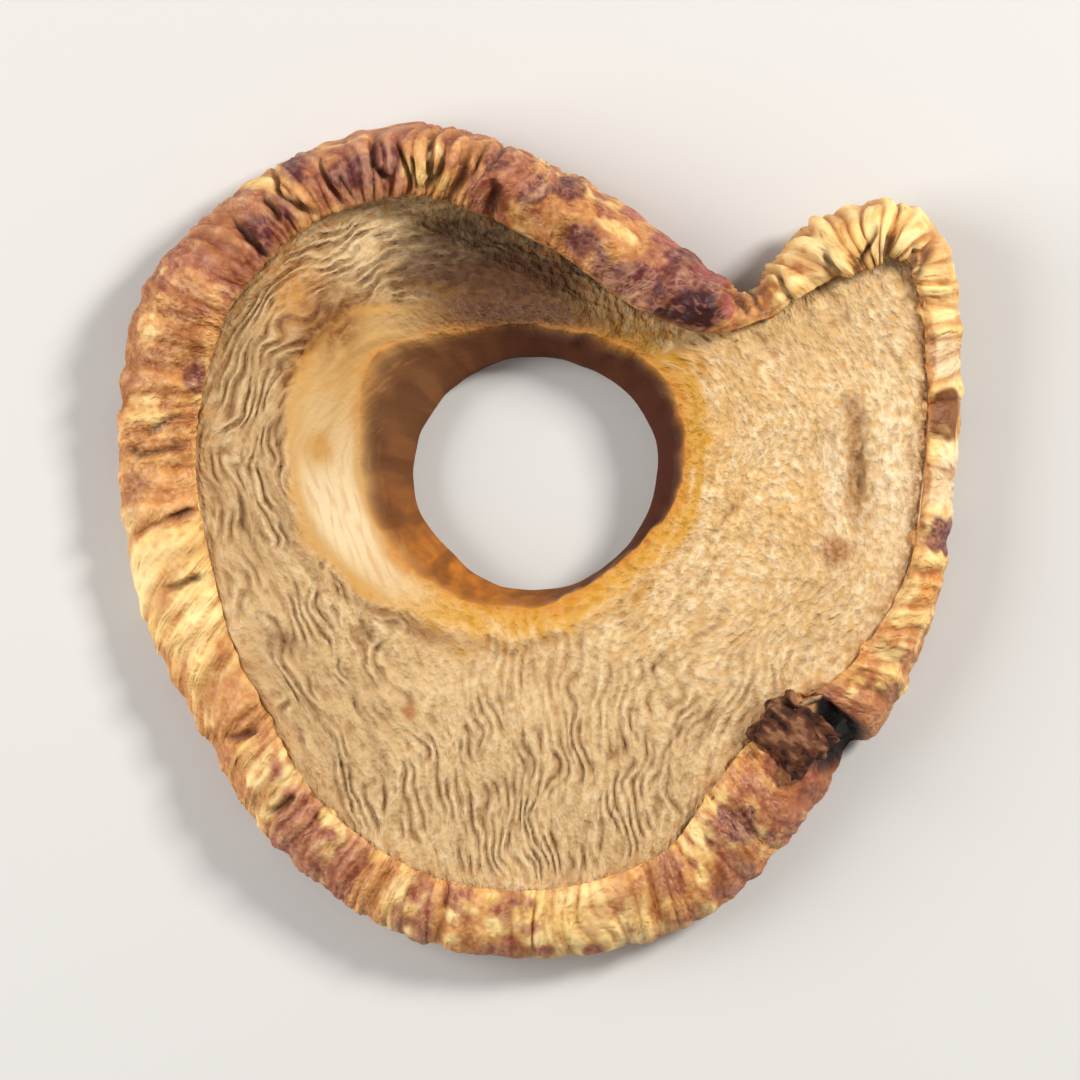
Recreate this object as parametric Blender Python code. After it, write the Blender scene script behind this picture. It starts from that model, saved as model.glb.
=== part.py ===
"""A dried ring of unpeeled apple: one slice cut across the core, curled and puckered as it dried.

It lies flat with the curled face up. Metres, +Z up. The origin is the bottom centre of the ring's
box. Every size below is in millimetres and is turned to metres where the vertices are placed.

The ring is one closed loft. A station names each place where the outline turns, and gives the
outline point, the width of the peel band seen from above, the height of its crest and how far it
is rolled inwards. A section runs from the outermost point over the crest, across the flesh to the
lip of the core hole, down the bore and back underneath.
"""

import math
import random

import bmesh
import bpy
import numpy as np

MM = 0.001
NAME = "dried_apple_ring"

# The mesh: segments round the ring, and where each stretch of a section has its vertices, counted
# in that stretch's guide points. The end of a stretch is the start of the next one.
ROUND_SEGMENTS = 246
RIM_PLACES = (0, 0.5, 1, 1.5, 2, 3, 4, 5)
FLESH_PLACES = (0, 0.25, 0.5, 0.75, 1, 1.5)
BORE_PLACES = (0, 1, 2)
BACK_PLACES = (0, 0.5, 1, 2, 3, 4)
SECTION_POINTS = len(RIM_PLACES + FLESH_PLACES + BORE_PLACES + BACK_PLACES)

# Stations, counter-clockwise from the right: x, y, peel band width, crest height, roll from 0 to 1
STATIONS = np.array([
    (33.0, 3.0, 2.7, 6.5, 0.00),  # right side, where the peel is thin
    (33.6, 13.0, 2.8, 6.7, 0.05),
    (32.9, 22.6, 3.7, 7.8, 0.45),  # shoulder of the upper right lobe
    (28.7, 27.0, 5.0, 8.9, 0.75),  # top of the lobe
    (21.5, 25.2, 5.3, 8.7, 0.60),
    (16.8, 19.9, 2.6, 6.8, 0.50),  # notch between the lobe and the fold
    (14.5, 21.1, 5.2, 10.2, 0.90),  # knob at the end of the fold
    (10.6, 23.9, 6.2, 9.9, 1.00),
    (3.2, 28.9, 6.1, 9.4, 1.00),  # fold
    (-8.5, 33.2, 6.0, 9.6, 1.00),  # top
    (-19.0, 30.8, 5.6, 8.8, 0.80),
    (-26.5, 25.8, 6.2, 7.8, 0.60),  # upper left
    (-32.0, 18.8, 7.0, 7.2, 0.50),
    (-33.5, 6.5, 6.2, 5.6, 0.10),  # left side, where the peel slopes outwards
    (-31.6, -5.5, 6.2, 5.3, 0.05),
    (-27.6, -14.0, 5.5, 5.5, 0.10),
    (-21.0, -24.4, 5.1, 5.7, 0.20),  # lower left
    (-10.5, -31.6, 5.2, 5.6, 0.25),
    (1.5, -33.2, 5.4, 5.6, 0.25),  # bottom
    (13.0, -30.2, 6.2, 6.0, 0.35),
    (20.2, -23.5, 7.4, 6.6, 0.40),
    (24.5, -17.8, 7.0, 6.8, 0.40),  # beside the woody scab
    (28.2, -13.6, 5.2, 6.9, 0.35),
    (31.8, -5.0, 3.4, 6.7, 0.20),  # lower right
])

# The core hole: its lip on the shown face, and the rounder opening at the back
HOLE = (-1.3, 5.8)
LIP_HALF_WIDTH = 12.8
LIP_HALF_HEIGHT = 11.4
LIP_CORNERS = ((143, 2.4, 20), (33, 1.0, 24), (-45, -1.3, 28))  # angle, extra radius, spread in degrees
LIP_FOLLOWS = 0.97  # how closely the lip's points follow those of the peel's border
BACK_HOLE = (-0.3, 5.6)
BACK_HOLE_HALF_WIDTH = 9.9
BACK_HOLE_HALF_HEIGHT = 9.3

# The flesh: height of its shown face, falls of that face, and thickness
FLESH_LEVEL = 6.3
FLESH_THICKNESS = 3.6
CORE_THICKER = 1.1  # extra thickness at the hole
CORE_REACH = 15.0
LOWEST_BACK = 0.6
BACK_EASE = 0.8
LEFT_FALL, LEFT_FALL_FROM, LEFT_FALL_LENGTH = 2.2, -18.0, 12.0
BOTTOM_FALL, BOTTOM_FALL_FROM, BOTTOM_FALL_LENGTH = 1.2, -14.0, 16.0
POCKET = (-3.0, 25.0, 13.0, 6.0)  # x, y and radii of the sunken flesh under the fold
POCKET_DEPTH = 2.7
FLESH_WAVES = (9.0, 11.5, 14.0, 19.0)  # lengths of the flesh's shallow swells
FLESH_UNEVEN = 0.3
FLESH_SEED = 3

# The smooth core zone round the hole slopes into it: widest at the left, as a crescent whose
# outer edge is a crest
CORE_ZONE_ANGLE = 178
CORE_ZONE_WIDTH, CORE_ZONE_EXTRA, CORE_ZONE_SPREAD = 2.4, 4.0, 48
CORE_FALL, CORE_FALL_EXTRA = 0.6, 0.6
CREST_RISE, CREST_FADE = 1.0, 3.5

# Small marks in the flesh
GROOVE = (25.3, 6.0, 0.55, 4.6)  # x, y, half width and half length of a shrunken seam at the right
GROOVE_DEPTH = 0.6
DENT = (-20.2, -8.9, 1.1, 1.1)
DENT_DEPTH = 0.5

# The peel band
EDGE_LIFT = 0.35  # the cut edge of the peel above the flesh
ROLL_LIFT = 1.6  # and what a full roll adds
ROLL_TUCK = 1.6  # how far a full roll overhangs the flesh
CREST_OVER_EDGE = 0.2
OUTER_LEVEL = 2.6  # height of the outermost point above the foot
FOOT_INSET = 1.4
EVEN_REACH = 0.022  # share of the way round over which the band's direction is evened out
FOOT_LIFT = 1.3  # the ring rests at three places, and its foot arches by this much between them
RESTS = 3
FIRST_REST = math.radians(85)
LOBE_LIFT = 0.9  # the lobe's foot stands this much higher
LOBE_ANGLE, LOBE_SPREAD = 36, 20
PUCKER_DEPTH = 0.34
PUCKERS = (46, 61, 83)  # puckers in one turn, in three overlapping series
PUCKER_SEED = 11

# The woody scab by the lower right edge, and the crack beside it
SCAB = (20.6, -15.2)
SCAB_SIZE = (6.8, 5.6, 3.8)
SCAB_LEVEL = 6.1
SCAB_TURN = math.radians(-32)
SCAB_SEED = 5
SCAB_UNEVEN = 0.4
CRACK = (24.9, -15.4, 1.0, 2.0)
CRACK_DEPTH = 1.6


def smooth_step(t):
    """Rises from 0 at t = 0 to 1 at t = 1, level at both ends."""
    t = np.clip(t, 0, 1)
    return t * t * (3 - 2 * t)


def hill(x, y, shape):
    """1 at the middle of shape = (x, y, radius along x, radius along y), falling to 0 around it."""
    cx, cy, rx, ry = shape
    return np.exp(-(((x - cx) / rx) ** 2) - ((y - cy) / ry) ** 2)


def swell(angle, centre, spread):
    """The same round a circle: angle is in radians, centre and spread in degrees."""
    away = (np.degrees(angle) - centre + 180) % 360 - 180
    return np.exp(-((away / spread) ** 2))


def catmull_rom(p0, p1, p2, p3, t):
    """A point between p1 and p2 on the smooth curve through the four."""
    a = 2 * p0 - 5 * p1 + 4 * p2 - p3
    b = 3 * p1 - p0 - 3 * p2 + p3
    return 0.5 * (2 * p1 + (p2 - p0) * t + a * t**2 + b * t**3)


def round_curve(rows, t):
    """A closed smooth curve through rows, read at t, in rows from the first."""
    whole = np.floor(t).astype(int)
    near = [rows[(whole + k) % len(rows)] for k in (-1, 0, 1, 2)]
    return catmull_rom(*near, (t - whole)[:, None])


def open_curve(points, places):
    """The smooth curve through points, each an array of rows, read at places."""
    padded = [2 * points[0] - points[1], *points, 2 * points[-1] - points[-2]]
    out = []
    for t in places:
        k = int(t)
        out.append(catmull_rom(padded[k], padded[k + 1], padded[k + 2], padded[k + 3], t - k))
    return out


def even_stations(count):
    """Station values at count places that are evenly spaced along the outline."""
    fine = np.linspace(0, len(STATIONS), len(STATIONS) * 60, endpoint=False)
    outline = round_curve(STATIONS, fine)[:, :2]
    steps = np.linalg.norm(np.roll(outline, -1, 0) - outline, axis=1)
    travelled = np.concatenate([[0], np.cumsum(steps)])
    wanted = np.linspace(0, travelled[-1], count, endpoint=False)
    return round_curve(STATIONS, np.interp(wanted, travelled, np.append(fine, len(STATIONS))))


def evened(rows):
    """Rows round the ring, each the weighted mean of those within a short reach."""
    reach = round(len(rows) * EVEN_REACH)
    weights = np.hanning(2 * reach + 3)[1:-1]
    shifted = [w * np.roll(rows, k, 0) for k, w in zip(range(-reach, reach + 1), weights)]
    return sum(shifted) / weights.sum()


def inward_normals(outline):
    """Unit vectors from a counter-clockwise outline towards its inside, evened out at sharp turns."""
    along = np.roll(outline, -1, 0) - np.roll(outline, 1, 0)
    along = evened(along / np.linalg.norm(along, axis=1)[:, None])
    along /= np.linalg.norm(along, axis=1)[:, None]
    return np.stack([-along[:, 1], along[:, 0]], axis=1)


def hole_angles(border):
    """For each border point the angle of its lip point, which rises all the way round the hole."""
    turn = np.linspace(0, 2 * math.pi, len(border), endpoint=False)
    seen = np.unwrap(np.arctan2(border[:, 1] - HOLE[1], border[:, 0] - HOLE[0]))
    highest_so_far = np.maximum.accumulate(seen)
    lowest_to_come = np.minimum.accumulate(seen[::-1])[::-1]
    rising = (highest_so_far + lowest_to_come) / 2
    return turn + LIP_FOLLOWS * evened(rising - turn)


def ellipse_radius(angle, half_width, half_height):
    """Distance from an ellipse's middle to its edge."""
    return 1 / np.hypot(np.cos(angle) / half_width, np.sin(angle) / half_height)


def lip_radius(angle):
    """Distance from the hole's middle to its lip."""
    radius = ellipse_radius(angle, LIP_HALF_WIDTH, LIP_HALF_HEIGHT)
    for centre, extra, spread in LIP_CORNERS:
        radius = radius + extra * swell(angle, centre, spread)
    return radius


def core_zone(angle):
    """How far the smooth core zone reaches past the lip, and its share as a crescent."""
    crescent = swell(angle, CORE_ZONE_ANGLE, CORE_ZONE_SPREAD)
    return CORE_ZONE_WIDTH + CORE_ZONE_EXTRA * crescent, crescent


def swells(x, y):
    """The flesh's shallow unevenness, from about -1 to 1."""
    draw = random.Random(FLESH_SEED)
    total = 0
    for length in FLESH_WAVES:
        heading = draw.uniform(0, math.pi)
        along = x * math.cos(heading) + y * math.sin(heading)
        total = total + np.sin(2 * math.pi * along / length + draw.uniform(0, 2 * math.pi))
    return total / len(FLESH_WAVES)


def plate_top(x, y):
    """Height of the shown face without the core zone and small marks."""
    z = FLESH_LEVEL - LEFT_FALL * smooth_step((LEFT_FALL_FROM - x) / LEFT_FALL_LENGTH)
    z = z - BOTTOM_FALL * smooth_step((BOTTOM_FALL_FROM - y) / BOTTOM_FALL_LENGTH)
    return z - POCKET_DEPTH * hill(x, y, POCKET) + FLESH_UNEVEN * swells(x, y)


def flesh_top(x, y):
    """Height of the shown face."""
    angle = np.arctan2(y - HOLE[1], x - HOLE[0])
    zone, crescent = core_zone(angle)
    past = np.hypot(x - HOLE[0], y - HOLE[1]) - lip_radius(angle) - zone
    rise = CREST_RISE * crescent
    fall = CORE_FALL + CORE_FALL_EXTRA * crescent + rise
    z = plate_top(x, y) + rise * np.exp(-((np.maximum(past, 0) / CREST_FADE) ** 1.4))
    z = z - fall * np.clip(-past / zone, 0, 1.2) ** 1.3
    z = z - GROOVE_DEPTH * hill(x, y, GROOVE) - DENT_DEPTH * hill(x, y, DENT)
    return z - CRACK_DEPTH * hill(x, y, CRACK)


def foot_level(x, y):
    """Height of the ring's foot: 0 where it rests, and arched between."""
    angle = np.arctan2(y, x)
    arch = 0.5 - 0.5 * np.cos(RESTS * (angle - FIRST_REST))
    return FOOT_LIFT * arch + LOBE_LIFT * swell(angle, LOBE_ANGLE, LOBE_SPREAD)


def flesh_back(x, y):
    """Height of the back face, which follows the shown one a slice's thickness below."""
    thickness = FLESH_THICKNESS + CORE_THICKER * hill(x, y, (*HOLE, CORE_REACH, CORE_REACH))
    level = plate_top(x, y) - thickness - LOWEST_BACK
    return LOWEST_BACK + np.hypot(level, BACK_EASE) / 2 + level / 2


def puckers(count):
    """Ridges and creases of the peel round the ring, from -1 to 1."""
    draw = random.Random(PUCKER_SEED)
    turn = np.linspace(0, 2 * math.pi, count, endpoint=False)
    waves = [np.sin(n * turn + draw.uniform(0, 2 * math.pi)) for n in PUCKERS]
    return sum(waves) / len(PUCKERS)


def at(plan, z):
    """Rows of x, y, z."""
    return np.concatenate([plan, np.broadcast_to(z, len(plan))[:, None]], axis=1)


def ring_rows(count):
    """The ring's surface as SECTION_POINTS rows of count points."""
    x, y, width, crest, roll = even_stations(count).T
    outline = np.stack([x, y], axis=1)
    normals = inward_normals(outline)
    angle = hole_angles(outline + normals * width[:, None])
    spoke = np.stack([np.cos(angle), np.sin(angle)], axis=1)
    lip = np.array(HOLE) + spoke * lip_radius(angle)[:, None]
    crest_line = lip + spoke * core_zone(angle)[0][:, None]
    back_radius = ellipse_radius(angle, BACK_HOLE_HALF_WIDTH, BACK_HOLE_HALF_HEIGHT)
    back_lip = np.array(BACK_HOLE) + spoke * back_radius[:, None]
    pucker = PUCKER_DEPTH * puckers(count)

    def inset(distance):
        return outline + normals * distance[:, None]

    # The peel band, from the outermost point up over the crest to its cut edge and the flesh
    tuck = ROLL_TUCK * roll
    border = inset(width)
    seam = inset(width - tuck)
    seam_z = flesh_top(*seam.T)
    edge_z = seam_z + EDGE_LIFT + ROLL_LIFT * roll
    crest = np.maximum(crest, edge_z + CREST_OVER_EDGE)
    crest_at = width * (0.86 - 0.36 * roll)
    foot_z = foot_level(*outline.T)
    outer_z = foot_z + OUTER_LEVEL
    shoulder_z = outer_z + 0.66 * (crest - outer_z)
    rim = open_curve([
        at(inset(-0.6 * pucker), outer_z),
        at(inset(crest_at * 0.34 - 0.7 * pucker), shoulder_z + 0.5 * pucker),
        at(inset(crest_at - 0.2 * pucker), crest + pucker),
        at(inset(width - 0.15 * (width - crest_at)), 0.55 * edge_z + 0.45 * crest + 0.6 * pucker),
        at(border, edge_z),
        at(inset(width - 0.75 * tuck), seam_z + 0.45 * (edge_z - seam_z)),
        at(seam, seam_z),
    ], RIM_PLACES)

    # The flesh, from the seam under the peel's edge to the crest and on to the lip
    flesh = []
    for place in FLESH_PLACES:
        plan = seam + (crest_line - seam) * min(place, 1) + (lip - crest_line) * max(place - 1, 0)
        flesh.append(at(plan, flesh_top(*plan.T)))

    # The bore, from the lip down to the back opening
    lip_z = flesh_top(*lip.T)
    back_z = flesh_back(*back_lip.T)
    bore = open_curve([
        at(lip, lip_z),
        at(lip + (back_lip - lip) * 0.45, back_z + 0.62 * (lip_z - back_z)),
        at(back_lip, back_z + 0.5),
        at(back_lip + spoke * 0.5, back_z),
    ], BORE_PLACES)

    # The back, out to the foot of the peel band and up to the outermost point
    foot = inset(np.full(count, FOOT_INSET))
    heel = border
    heel_z = flesh_back(*heel.T)
    back = open_curve([
        at(back_lip + spoke * 0.5, back_z),
        at(back_lip + (heel - back_lip) * 0.5, flesh_back(*((back_lip + heel) / 2).T)),
        at(heel, heel_z),
        at(foot, foot_z),
        at(inset(-0.5 * pucker), foot_z + OUTER_LEVEL * 0.55),
        at(inset(-0.6 * pucker), outer_z),
    ], BACK_PLACES)
    return [*rim, *flesh, *bore, *back]


def peel_and_flesh():
    """The ring: a torus whose vertices are moved to the loft, centred on the origin and resting on z = 0."""
    bpy.ops.mesh.primitive_torus_add(
        major_segments=ROUND_SEGMENTS,
        minor_segments=SECTION_POINTS,
        major_radius=22 * MM,
        minor_radius=5 * MM,
    )
    ring = bpy.context.object
    ring.name = NAME
    ring.data.name = NAME
    surface = np.stack(ring_rows(ROUND_SEGMENTS), axis=1).reshape(-1, 3)
    lowest, highest = surface.min(0), surface.max(0)
    middle = (lowest + highest) / 2
    middle[2] = lowest[2]
    ring.data.vertices.foreach_set("co", ((surface - middle) * MM).ravel())
    ring.data.update()
    return ring, middle


def woody_scab(middle):
    """An uneven block of dark woody tissue, sunk in the flesh by the edge."""
    draw = random.Random(SCAB_SEED)
    mesh = bmesh.new()
    bmesh.ops.create_cube(mesh, size=1)
    bmesh.ops.subdivide_edges(mesh, edges=mesh.edges[:], cuts=1, use_grid_fill=True)
    for corner in mesh.verts:
        corner.co.x *= SCAB_SIZE[0]
        corner.co.y *= SCAB_SIZE[1]
        corner.co.z *= SCAB_SIZE[2]
        for axis in range(3):
            corner.co[axis] += draw.uniform(-SCAB_UNEVEN, SCAB_UNEVEN)
        corner.co *= MM
    data = bpy.data.meshes.new("woody_scab")
    mesh.to_mesh(data)
    mesh.free()
    scab = bpy.data.objects.new("woody_scab", data)
    scab.location = [
        (SCAB[0] - middle[0]) * MM,
        (SCAB[1] - middle[1]) * MM,
        (SCAB_LEVEL - middle[2]) * MM,
    ]
    scab.rotation_euler = (0.1, -0.08, SCAB_TURN)
    return scab


def apple_material():
    """Leathery dried apple."""
    material = bpy.data.materials.new("dried_apple")
    material.use_nodes = True
    shader = material.node_tree.nodes["Principled BSDF"]
    shader.inputs["Base Color"].default_value = (0.66, 0.44, 0.21, 1)
    shader.inputs["Roughness"].default_value = 0.62
    shader.inputs["Metallic"].default_value = 0.0
    return material


def join(ring, scab, collection):
    """Fuses the scab into the ring with one Boolean union, applied."""
    collection.objects.link(scab)
    bpy.context.view_layer.update()
    union = ring.modifiers.new("scab", "BOOLEAN")
    union.operation = "UNION"
    union.solver = "EXACT"
    union.object = scab
    evaluated = ring.evaluated_get(bpy.context.evaluated_depsgraph_get())
    fused = bpy.data.meshes.new_from_object(evaluated)
    ring.modifiers.clear()
    ring.data = fused
    bpy.data.objects.remove(scab)


def main():
    for old in list(bpy.data.objects):
        bpy.data.objects.remove(old)
    collection = bpy.data.collections.new("dried apple ring")
    bpy.context.scene.collection.children.link(collection)
    ring, middle = peel_and_flesh()
    for other in list(ring.users_collection):
        other.objects.unlink(ring)
    collection.objects.link(ring)
    join(ring, woody_scab(middle), collection)
    ring.data.materials.clear()
    ring.data.materials.append(apple_material())
    ring.data.shade_smooth()


main()
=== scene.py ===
"""Looks of one dried apple ring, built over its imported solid.

The surface is the solid's loft, from the same stations, with many more segments and with the wrinkles,
puckers and cut edges that the solid leaves out. Three pieces stand for the solid: the flesh, the peel
round it and the woody scab. Lengths are in millimetres until a mesh is made.
"""

import math
import random

import bmesh
import bpy
import numpy as np
from mathutils import Euler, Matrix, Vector, noise


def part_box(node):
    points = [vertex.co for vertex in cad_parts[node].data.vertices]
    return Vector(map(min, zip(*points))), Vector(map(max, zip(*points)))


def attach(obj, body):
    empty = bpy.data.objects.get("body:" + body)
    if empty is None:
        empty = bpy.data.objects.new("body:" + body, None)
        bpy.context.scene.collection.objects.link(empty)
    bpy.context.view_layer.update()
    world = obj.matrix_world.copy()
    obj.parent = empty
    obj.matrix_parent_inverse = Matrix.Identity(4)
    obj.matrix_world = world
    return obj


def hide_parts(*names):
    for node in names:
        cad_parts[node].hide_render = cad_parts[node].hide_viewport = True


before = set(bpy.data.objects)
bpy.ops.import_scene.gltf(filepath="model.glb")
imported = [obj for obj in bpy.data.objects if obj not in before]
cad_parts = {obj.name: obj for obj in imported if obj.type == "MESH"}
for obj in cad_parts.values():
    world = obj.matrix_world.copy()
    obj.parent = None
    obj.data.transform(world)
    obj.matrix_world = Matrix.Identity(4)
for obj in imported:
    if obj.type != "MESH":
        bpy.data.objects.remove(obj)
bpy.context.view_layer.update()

MM = 0.001
NODE = "dried_apple_ring"

# Stations, counter-clockwise from the right: x, y, peel band width, crest height and roll from 0 to 1.
# Then the peel's looks there: how much of it is orange, purple-red and brown, how crumpled and how glossy
# it is, each from 0 to 1; and the depth of its puckers and how far they lean, both in millimetres.
STATIONS = np.array([
    (33, 3, 2.7, 6.5, 0, 0.25, 0, 0, 0.5, 0.3, 0.2, 0),  # right side, where the peel is thin
    (33.6, 13, 2.8, 6.7, 0.05, 0.2, 0, 0.05, 0.5, 0.3, 0.22, 0),
    (32.9, 22.6, 3.7, 7.8, 0.45, 0.15, 0, 0.05, 0.25, 0.2, 0.3, 0),  # shoulder of the upper right lobe
    (28.7, 27, 5, 8.9, 0.75, 0.1, 0, 0, 0.15, 0.2, 0.34, 0),  # top of the lobe
    (21.5, 25.2, 5.3, 8.7, 0.6, 0.1, 0, 0.05, 0.15, 0.2, 0.34, 0.1),
    (16.8, 19.9, 2.6, 6.8, 0.5, 0.5, 0.15, 0.2, 0.4, 0.2, 0.32, 0),  # notch between the lobe and the fold
    (14.5, 21.1, 5.2, 10.2, 0.9, 0.6, 0.3, 0.05, 0.9, 0.3, 0.24, 0),  # knob at the end of the fold
    (10.6, 23.9, 6.2, 9.9, 1, 0.75, 0.25, 0, 0.9, 0.2, 0.24, 0),
    (3.2, 28.9, 6.1, 9.4, 1, 0.8, 0.2, 0, 0.9, 0.2, 0.26, 0.3),  # fold
    (-8.5, 33.2, 6, 9.6, 1, 0.9, 0.6, 0.2, 0.25, 0.2, 0.36, -0.3),  # top
    (-19, 30.8, 5.6, 8.8, 0.8, 0.9, 0.56, 0.12, 0.2, 0.2, 0.38, 0.2),
    (-26.5, 25.8, 6.2, 7.8, 0.6, 0.95, 0.58, 0.25, 0.35, 0.3, 0.36, 0.2),  # upper left
    (-32, 18.8, 7, 7.2, 0.5, 0.95, 0.22, 0.62, 0.85, 0.7, 0.22, 0),
    (-33.5, 6.5, 6.2, 5.6, 0.1, 0.65, 0, 0.25, 0.75, 0.7, 0.26, 0.3),  # left side: the peel slopes outwards
    (-31.6, -5.5, 6.2, 5.3, 0.05, 0.12, 0, 0, 0.35, 0.3, 0.32, 0.8),
    (-27.6, -14, 5.5, 5.5, 0.1, 0.6, 0, 0.05, 0.4, 0.3, 0.3, 0.7),
    (-21, -24.4, 5.1, 5.7, 0.2, 0.85, 0.5, 0.1, 0.55, 0.6, 0.32, 0.4),  # lower left
    (-10.5, -31.6, 5.2, 5.6, 0.25, 0.75, 0.4, 0.05, 0.5, 0.5, 0.32, 0.1),
    (1.5, -33.2, 5.4, 5.6, 0.25, 0.6, 0.35, 0.05, 0.45, 0.4, 0.34, 0),  # bottom
    (13, -30.2, 6.2, 6, 0.35, 0.7, 0.3, 0.2, 0.55, 0.5, 0.38, 0),
    (20.2, -23.5, 7.4, 6.6, 0.4, 0.8, 0.36, 0.28, 0.65, 0.6, 0.4, 0),
    (24.5, -17.8, 7, 6.8, 0.4, 0.85, 0.42, 0.28, 0.6, 0.5, 0.34, 0),  # beside the woody scab
    (28.2, -13.6, 5.2, 6.9, 0.35, 0.75, 0.45, 0.25, 0.55, 0.4, 0.28, 0),
    (31.8, -5, 3.4, 6.7, 0.2, 0.45, 0, 0.05, 0.5, 0.3, 0.24, 0),  # lower right
])
SHAPES, LOOKS = STATIONS[:, :5], STATIONS[:, 5:]
LOOK_NAMES = ("orange", "red", "brown", "crumpled", "glossy", "depth", "lean")

# The core hole: its lip on the shown face, and the rounder opening at the back
HOLE = (-1.3, 5.8)
LIP_HALF_SIZE = (12.8, 11.4)
LIP_CORNERS = ((143, 2.4, 20), (33, 1.0, 24), (-45, -1.3, 28))  # angle, extra radius, spread in degrees
LIP_FOLLOWS = 0.97
BACK_HOLE = (-0.3, 5.6)
BACK_HOLE_HALF_SIZE = (9.9, 9.3)

# The flesh
FLESH_LEVEL = 6.3
FLESH_THICKNESS = 3.6
CORE_THICKER = 1.1
CORE_REACH = 15.0
LOWEST_BACK = 0.6
BACK_EASE = 0.8
LEFT_FALL, LEFT_FALL_FROM, LEFT_FALL_LENGTH = 2.2, -18.0, 12.0
BOTTOM_FALL, BOTTOM_FALL_FROM, BOTTOM_FALL_LENGTH = 1.2, -14.0, 16.0
POCKET = (-3.0, 25.0, 13.0, 6.0)
POCKET_DEPTH = 2.7
FLESH_WAVES = (9.0, 11.5, 14.0, 19.0)
FLESH_UNEVEN = 0.3
FLESH_SEED = 3
CORE_ZONE_ANGLE = 178
CORE_ZONE_WIDTH, CORE_ZONE_EXTRA, CORE_ZONE_SPREAD = 2.4, 4.0, 48
CORE_FALL, CORE_FALL_EXTRA = 0.6, 0.6
CREST_RISE, CREST_FADE = 1.0, 3.5
GROOVE = (25.3, 6.0, 0.55, 4.6)
GROOVE_DEPTH = 0.6
DENT = (-20.2, -8.9, 1.1, 1.1)
DENT_DEPTH = 0.5

# The peel band
EDGE_LIFT = 0.35
ROLL_LIFT = 1.6
ROLL_TUCK = 1.6
CREST_OVER_EDGE = 0.2
OUTER_LEVEL = 2.6
FOOT_INSET = 1.4
CREST_PLACE, CREST_SHIFT = 0.86, 0.36  # the crest's place across the band, and how far a roll moves it out
SHOULDER_PLACE, SHOULDER_RISE = 0.34, 0.66  # shares of the crest's place and height
EVEN_REACH = 0.022
FOOT_LIFT = 1.3
RESTS = 3
FIRST_REST = math.radians(85)
LOBE_LIFT = 0.9
LOBE_ANGLE, LOBE_SPREAD = 36, 20
PUCKER_DEPTH = 0.34
PUCKERS = (46, 61, 83)
PUCKER_SEED = 11

# The woody scab and the crack beside it
SCAB = (20.6, -15.5)
SCAB_SIZE = (6.2, 5.1, 3.8)
SCAB_LEVEL = 6.1
SCAB_TILT = (0.1, -0.08)
SCAB_TURN = math.radians(-45)
SCAB_SEED = 5
SCAB_UNEVEN = 0.4
SCAB_CUTS = 15
CRACK = (24.9, -15.4, 1.0, 2.0)
CRACK_DEPTH = 1.6

# Segments: those of the solid, and those of the finer meshes
SOLID_ROUND = 246
FLESH_ROUND = 950
FACE_ROWS, ZONE_ROWS, BORE_ROWS, BACK_ROWS, HIDDEN_ROWS = 56, 16, 12, 10, 6
ZONE_EASE, BORE_EASE = 1.5, 1.3  # above 1, as the rows lie closer together at the lip
EDGE_ROWS = ((0.6, 0.30), (1.2, 0.18), (1.7, 0.06))  # rows under the peel's edge: place, and depth below
PEEL_ROUND = 1500
PEEL_ROWS = 52
PEEL_INNER_ROWS = 12

# Headings of the flesh's fibres, in degrees from +x, at places on the shown face
FIBRES = (
    (-6.8, 22.3, 3), (3.8, 18.8, -18), (-17.4, 18.8, 35), (-24.4, 11.8, 62), (-24.4, 2.4, 104),
    (-21.0, -7.0, 118), (-16.2, -16.5, 120), (-8.0, -14.0, 116), (-8.0, -23.5, 104), (1.4, -21.0, 90),
    (10.8, -18.8, 72), (13.2, -9.4, 46), (22.6, 16.4, 118), (27.0, 7.0, 92),
    (17.9, 2.4, 80), (25.0, -4.7, 70), (19.0, -8.0, 52),
)
FIBRE_EASE = 3.0

# Which of a heading's two ways is the first one, in degrees, at angles round the hole from the seam on.
# The fibres turn by half a circle on their way round, so the ways don't meet at the seam.
FIBRE_TURNS = ((38, 140), (90, 170), (135, 215), (180, 275), (225, 300), (270, 275), (315, 235), (360, 258),
               (398, 298))
FIBRE_SEAM = math.radians(38)
FIBRE_RADII = (9.0, 42.0, 56)
FIBRE_COLUMNS = 360
MATCH_STEPS = 500

# The noise fields: how many cells each has both ways, and a cell's size both ways, in millimetres
FIBRE_FIELD = ((1024, 512), 0.1, 0.3)
PLAN_FIELD = ((640, 640), 0.12, 0.12)
HOLE_FIELD = ((240, 800), 0.1, 0.1)
HOLE_RADIUS = 800 * 0.1 / (2 * math.pi)  # where the hole's field goes round it once

# Depths of the flesh's fine relief
PLEAT_DEPTH = 0.20
PLEAT_SPACING = 0.86
WRINKLE_DEPTH = 0.14
FURROW_DEPTH = 0.23
CRUMPLE_DEPTH = 0.13
STREAK_DEPTH = 0.06
CONTOUR_DEPTH = 0.20
BORE_UNEVEN = 0.10
LIP_BLEND = 0.5  # share of the bore's depth over which the lip's colours fade
BACK_RAGGED, RAGGED_REACH = 0.16, 10.4  # how uneven the hole's edge at the back is, and how far out
LOW_LEFT = (-15.5, -12.5, 7.0, 7.0)  # where the furrows are deepest
# Where the groove is browner and sinks further: partly stain, partly painted shade of its walls
GROOVE_STAIN_AND_SHADE, GROOVE_EXTRA_DEPTH = (25.3, 5.6, 0.8, 4.2), 0.18
EDGE_SHOWS = 0.18  # how much of the peel's cut edge shows where the flesh rises to it, at the right and left
SCAB_ROOM, SCAB_SINK = (20.6, -15.2, 3.0, 2.6), 1.0  # where the flesh makes room for the scab, and how deep

# Angles and spreads round the hole, in degrees
HOLE_TOP = (92, 36)
BORE_AMBER = (244, 42)

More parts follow.
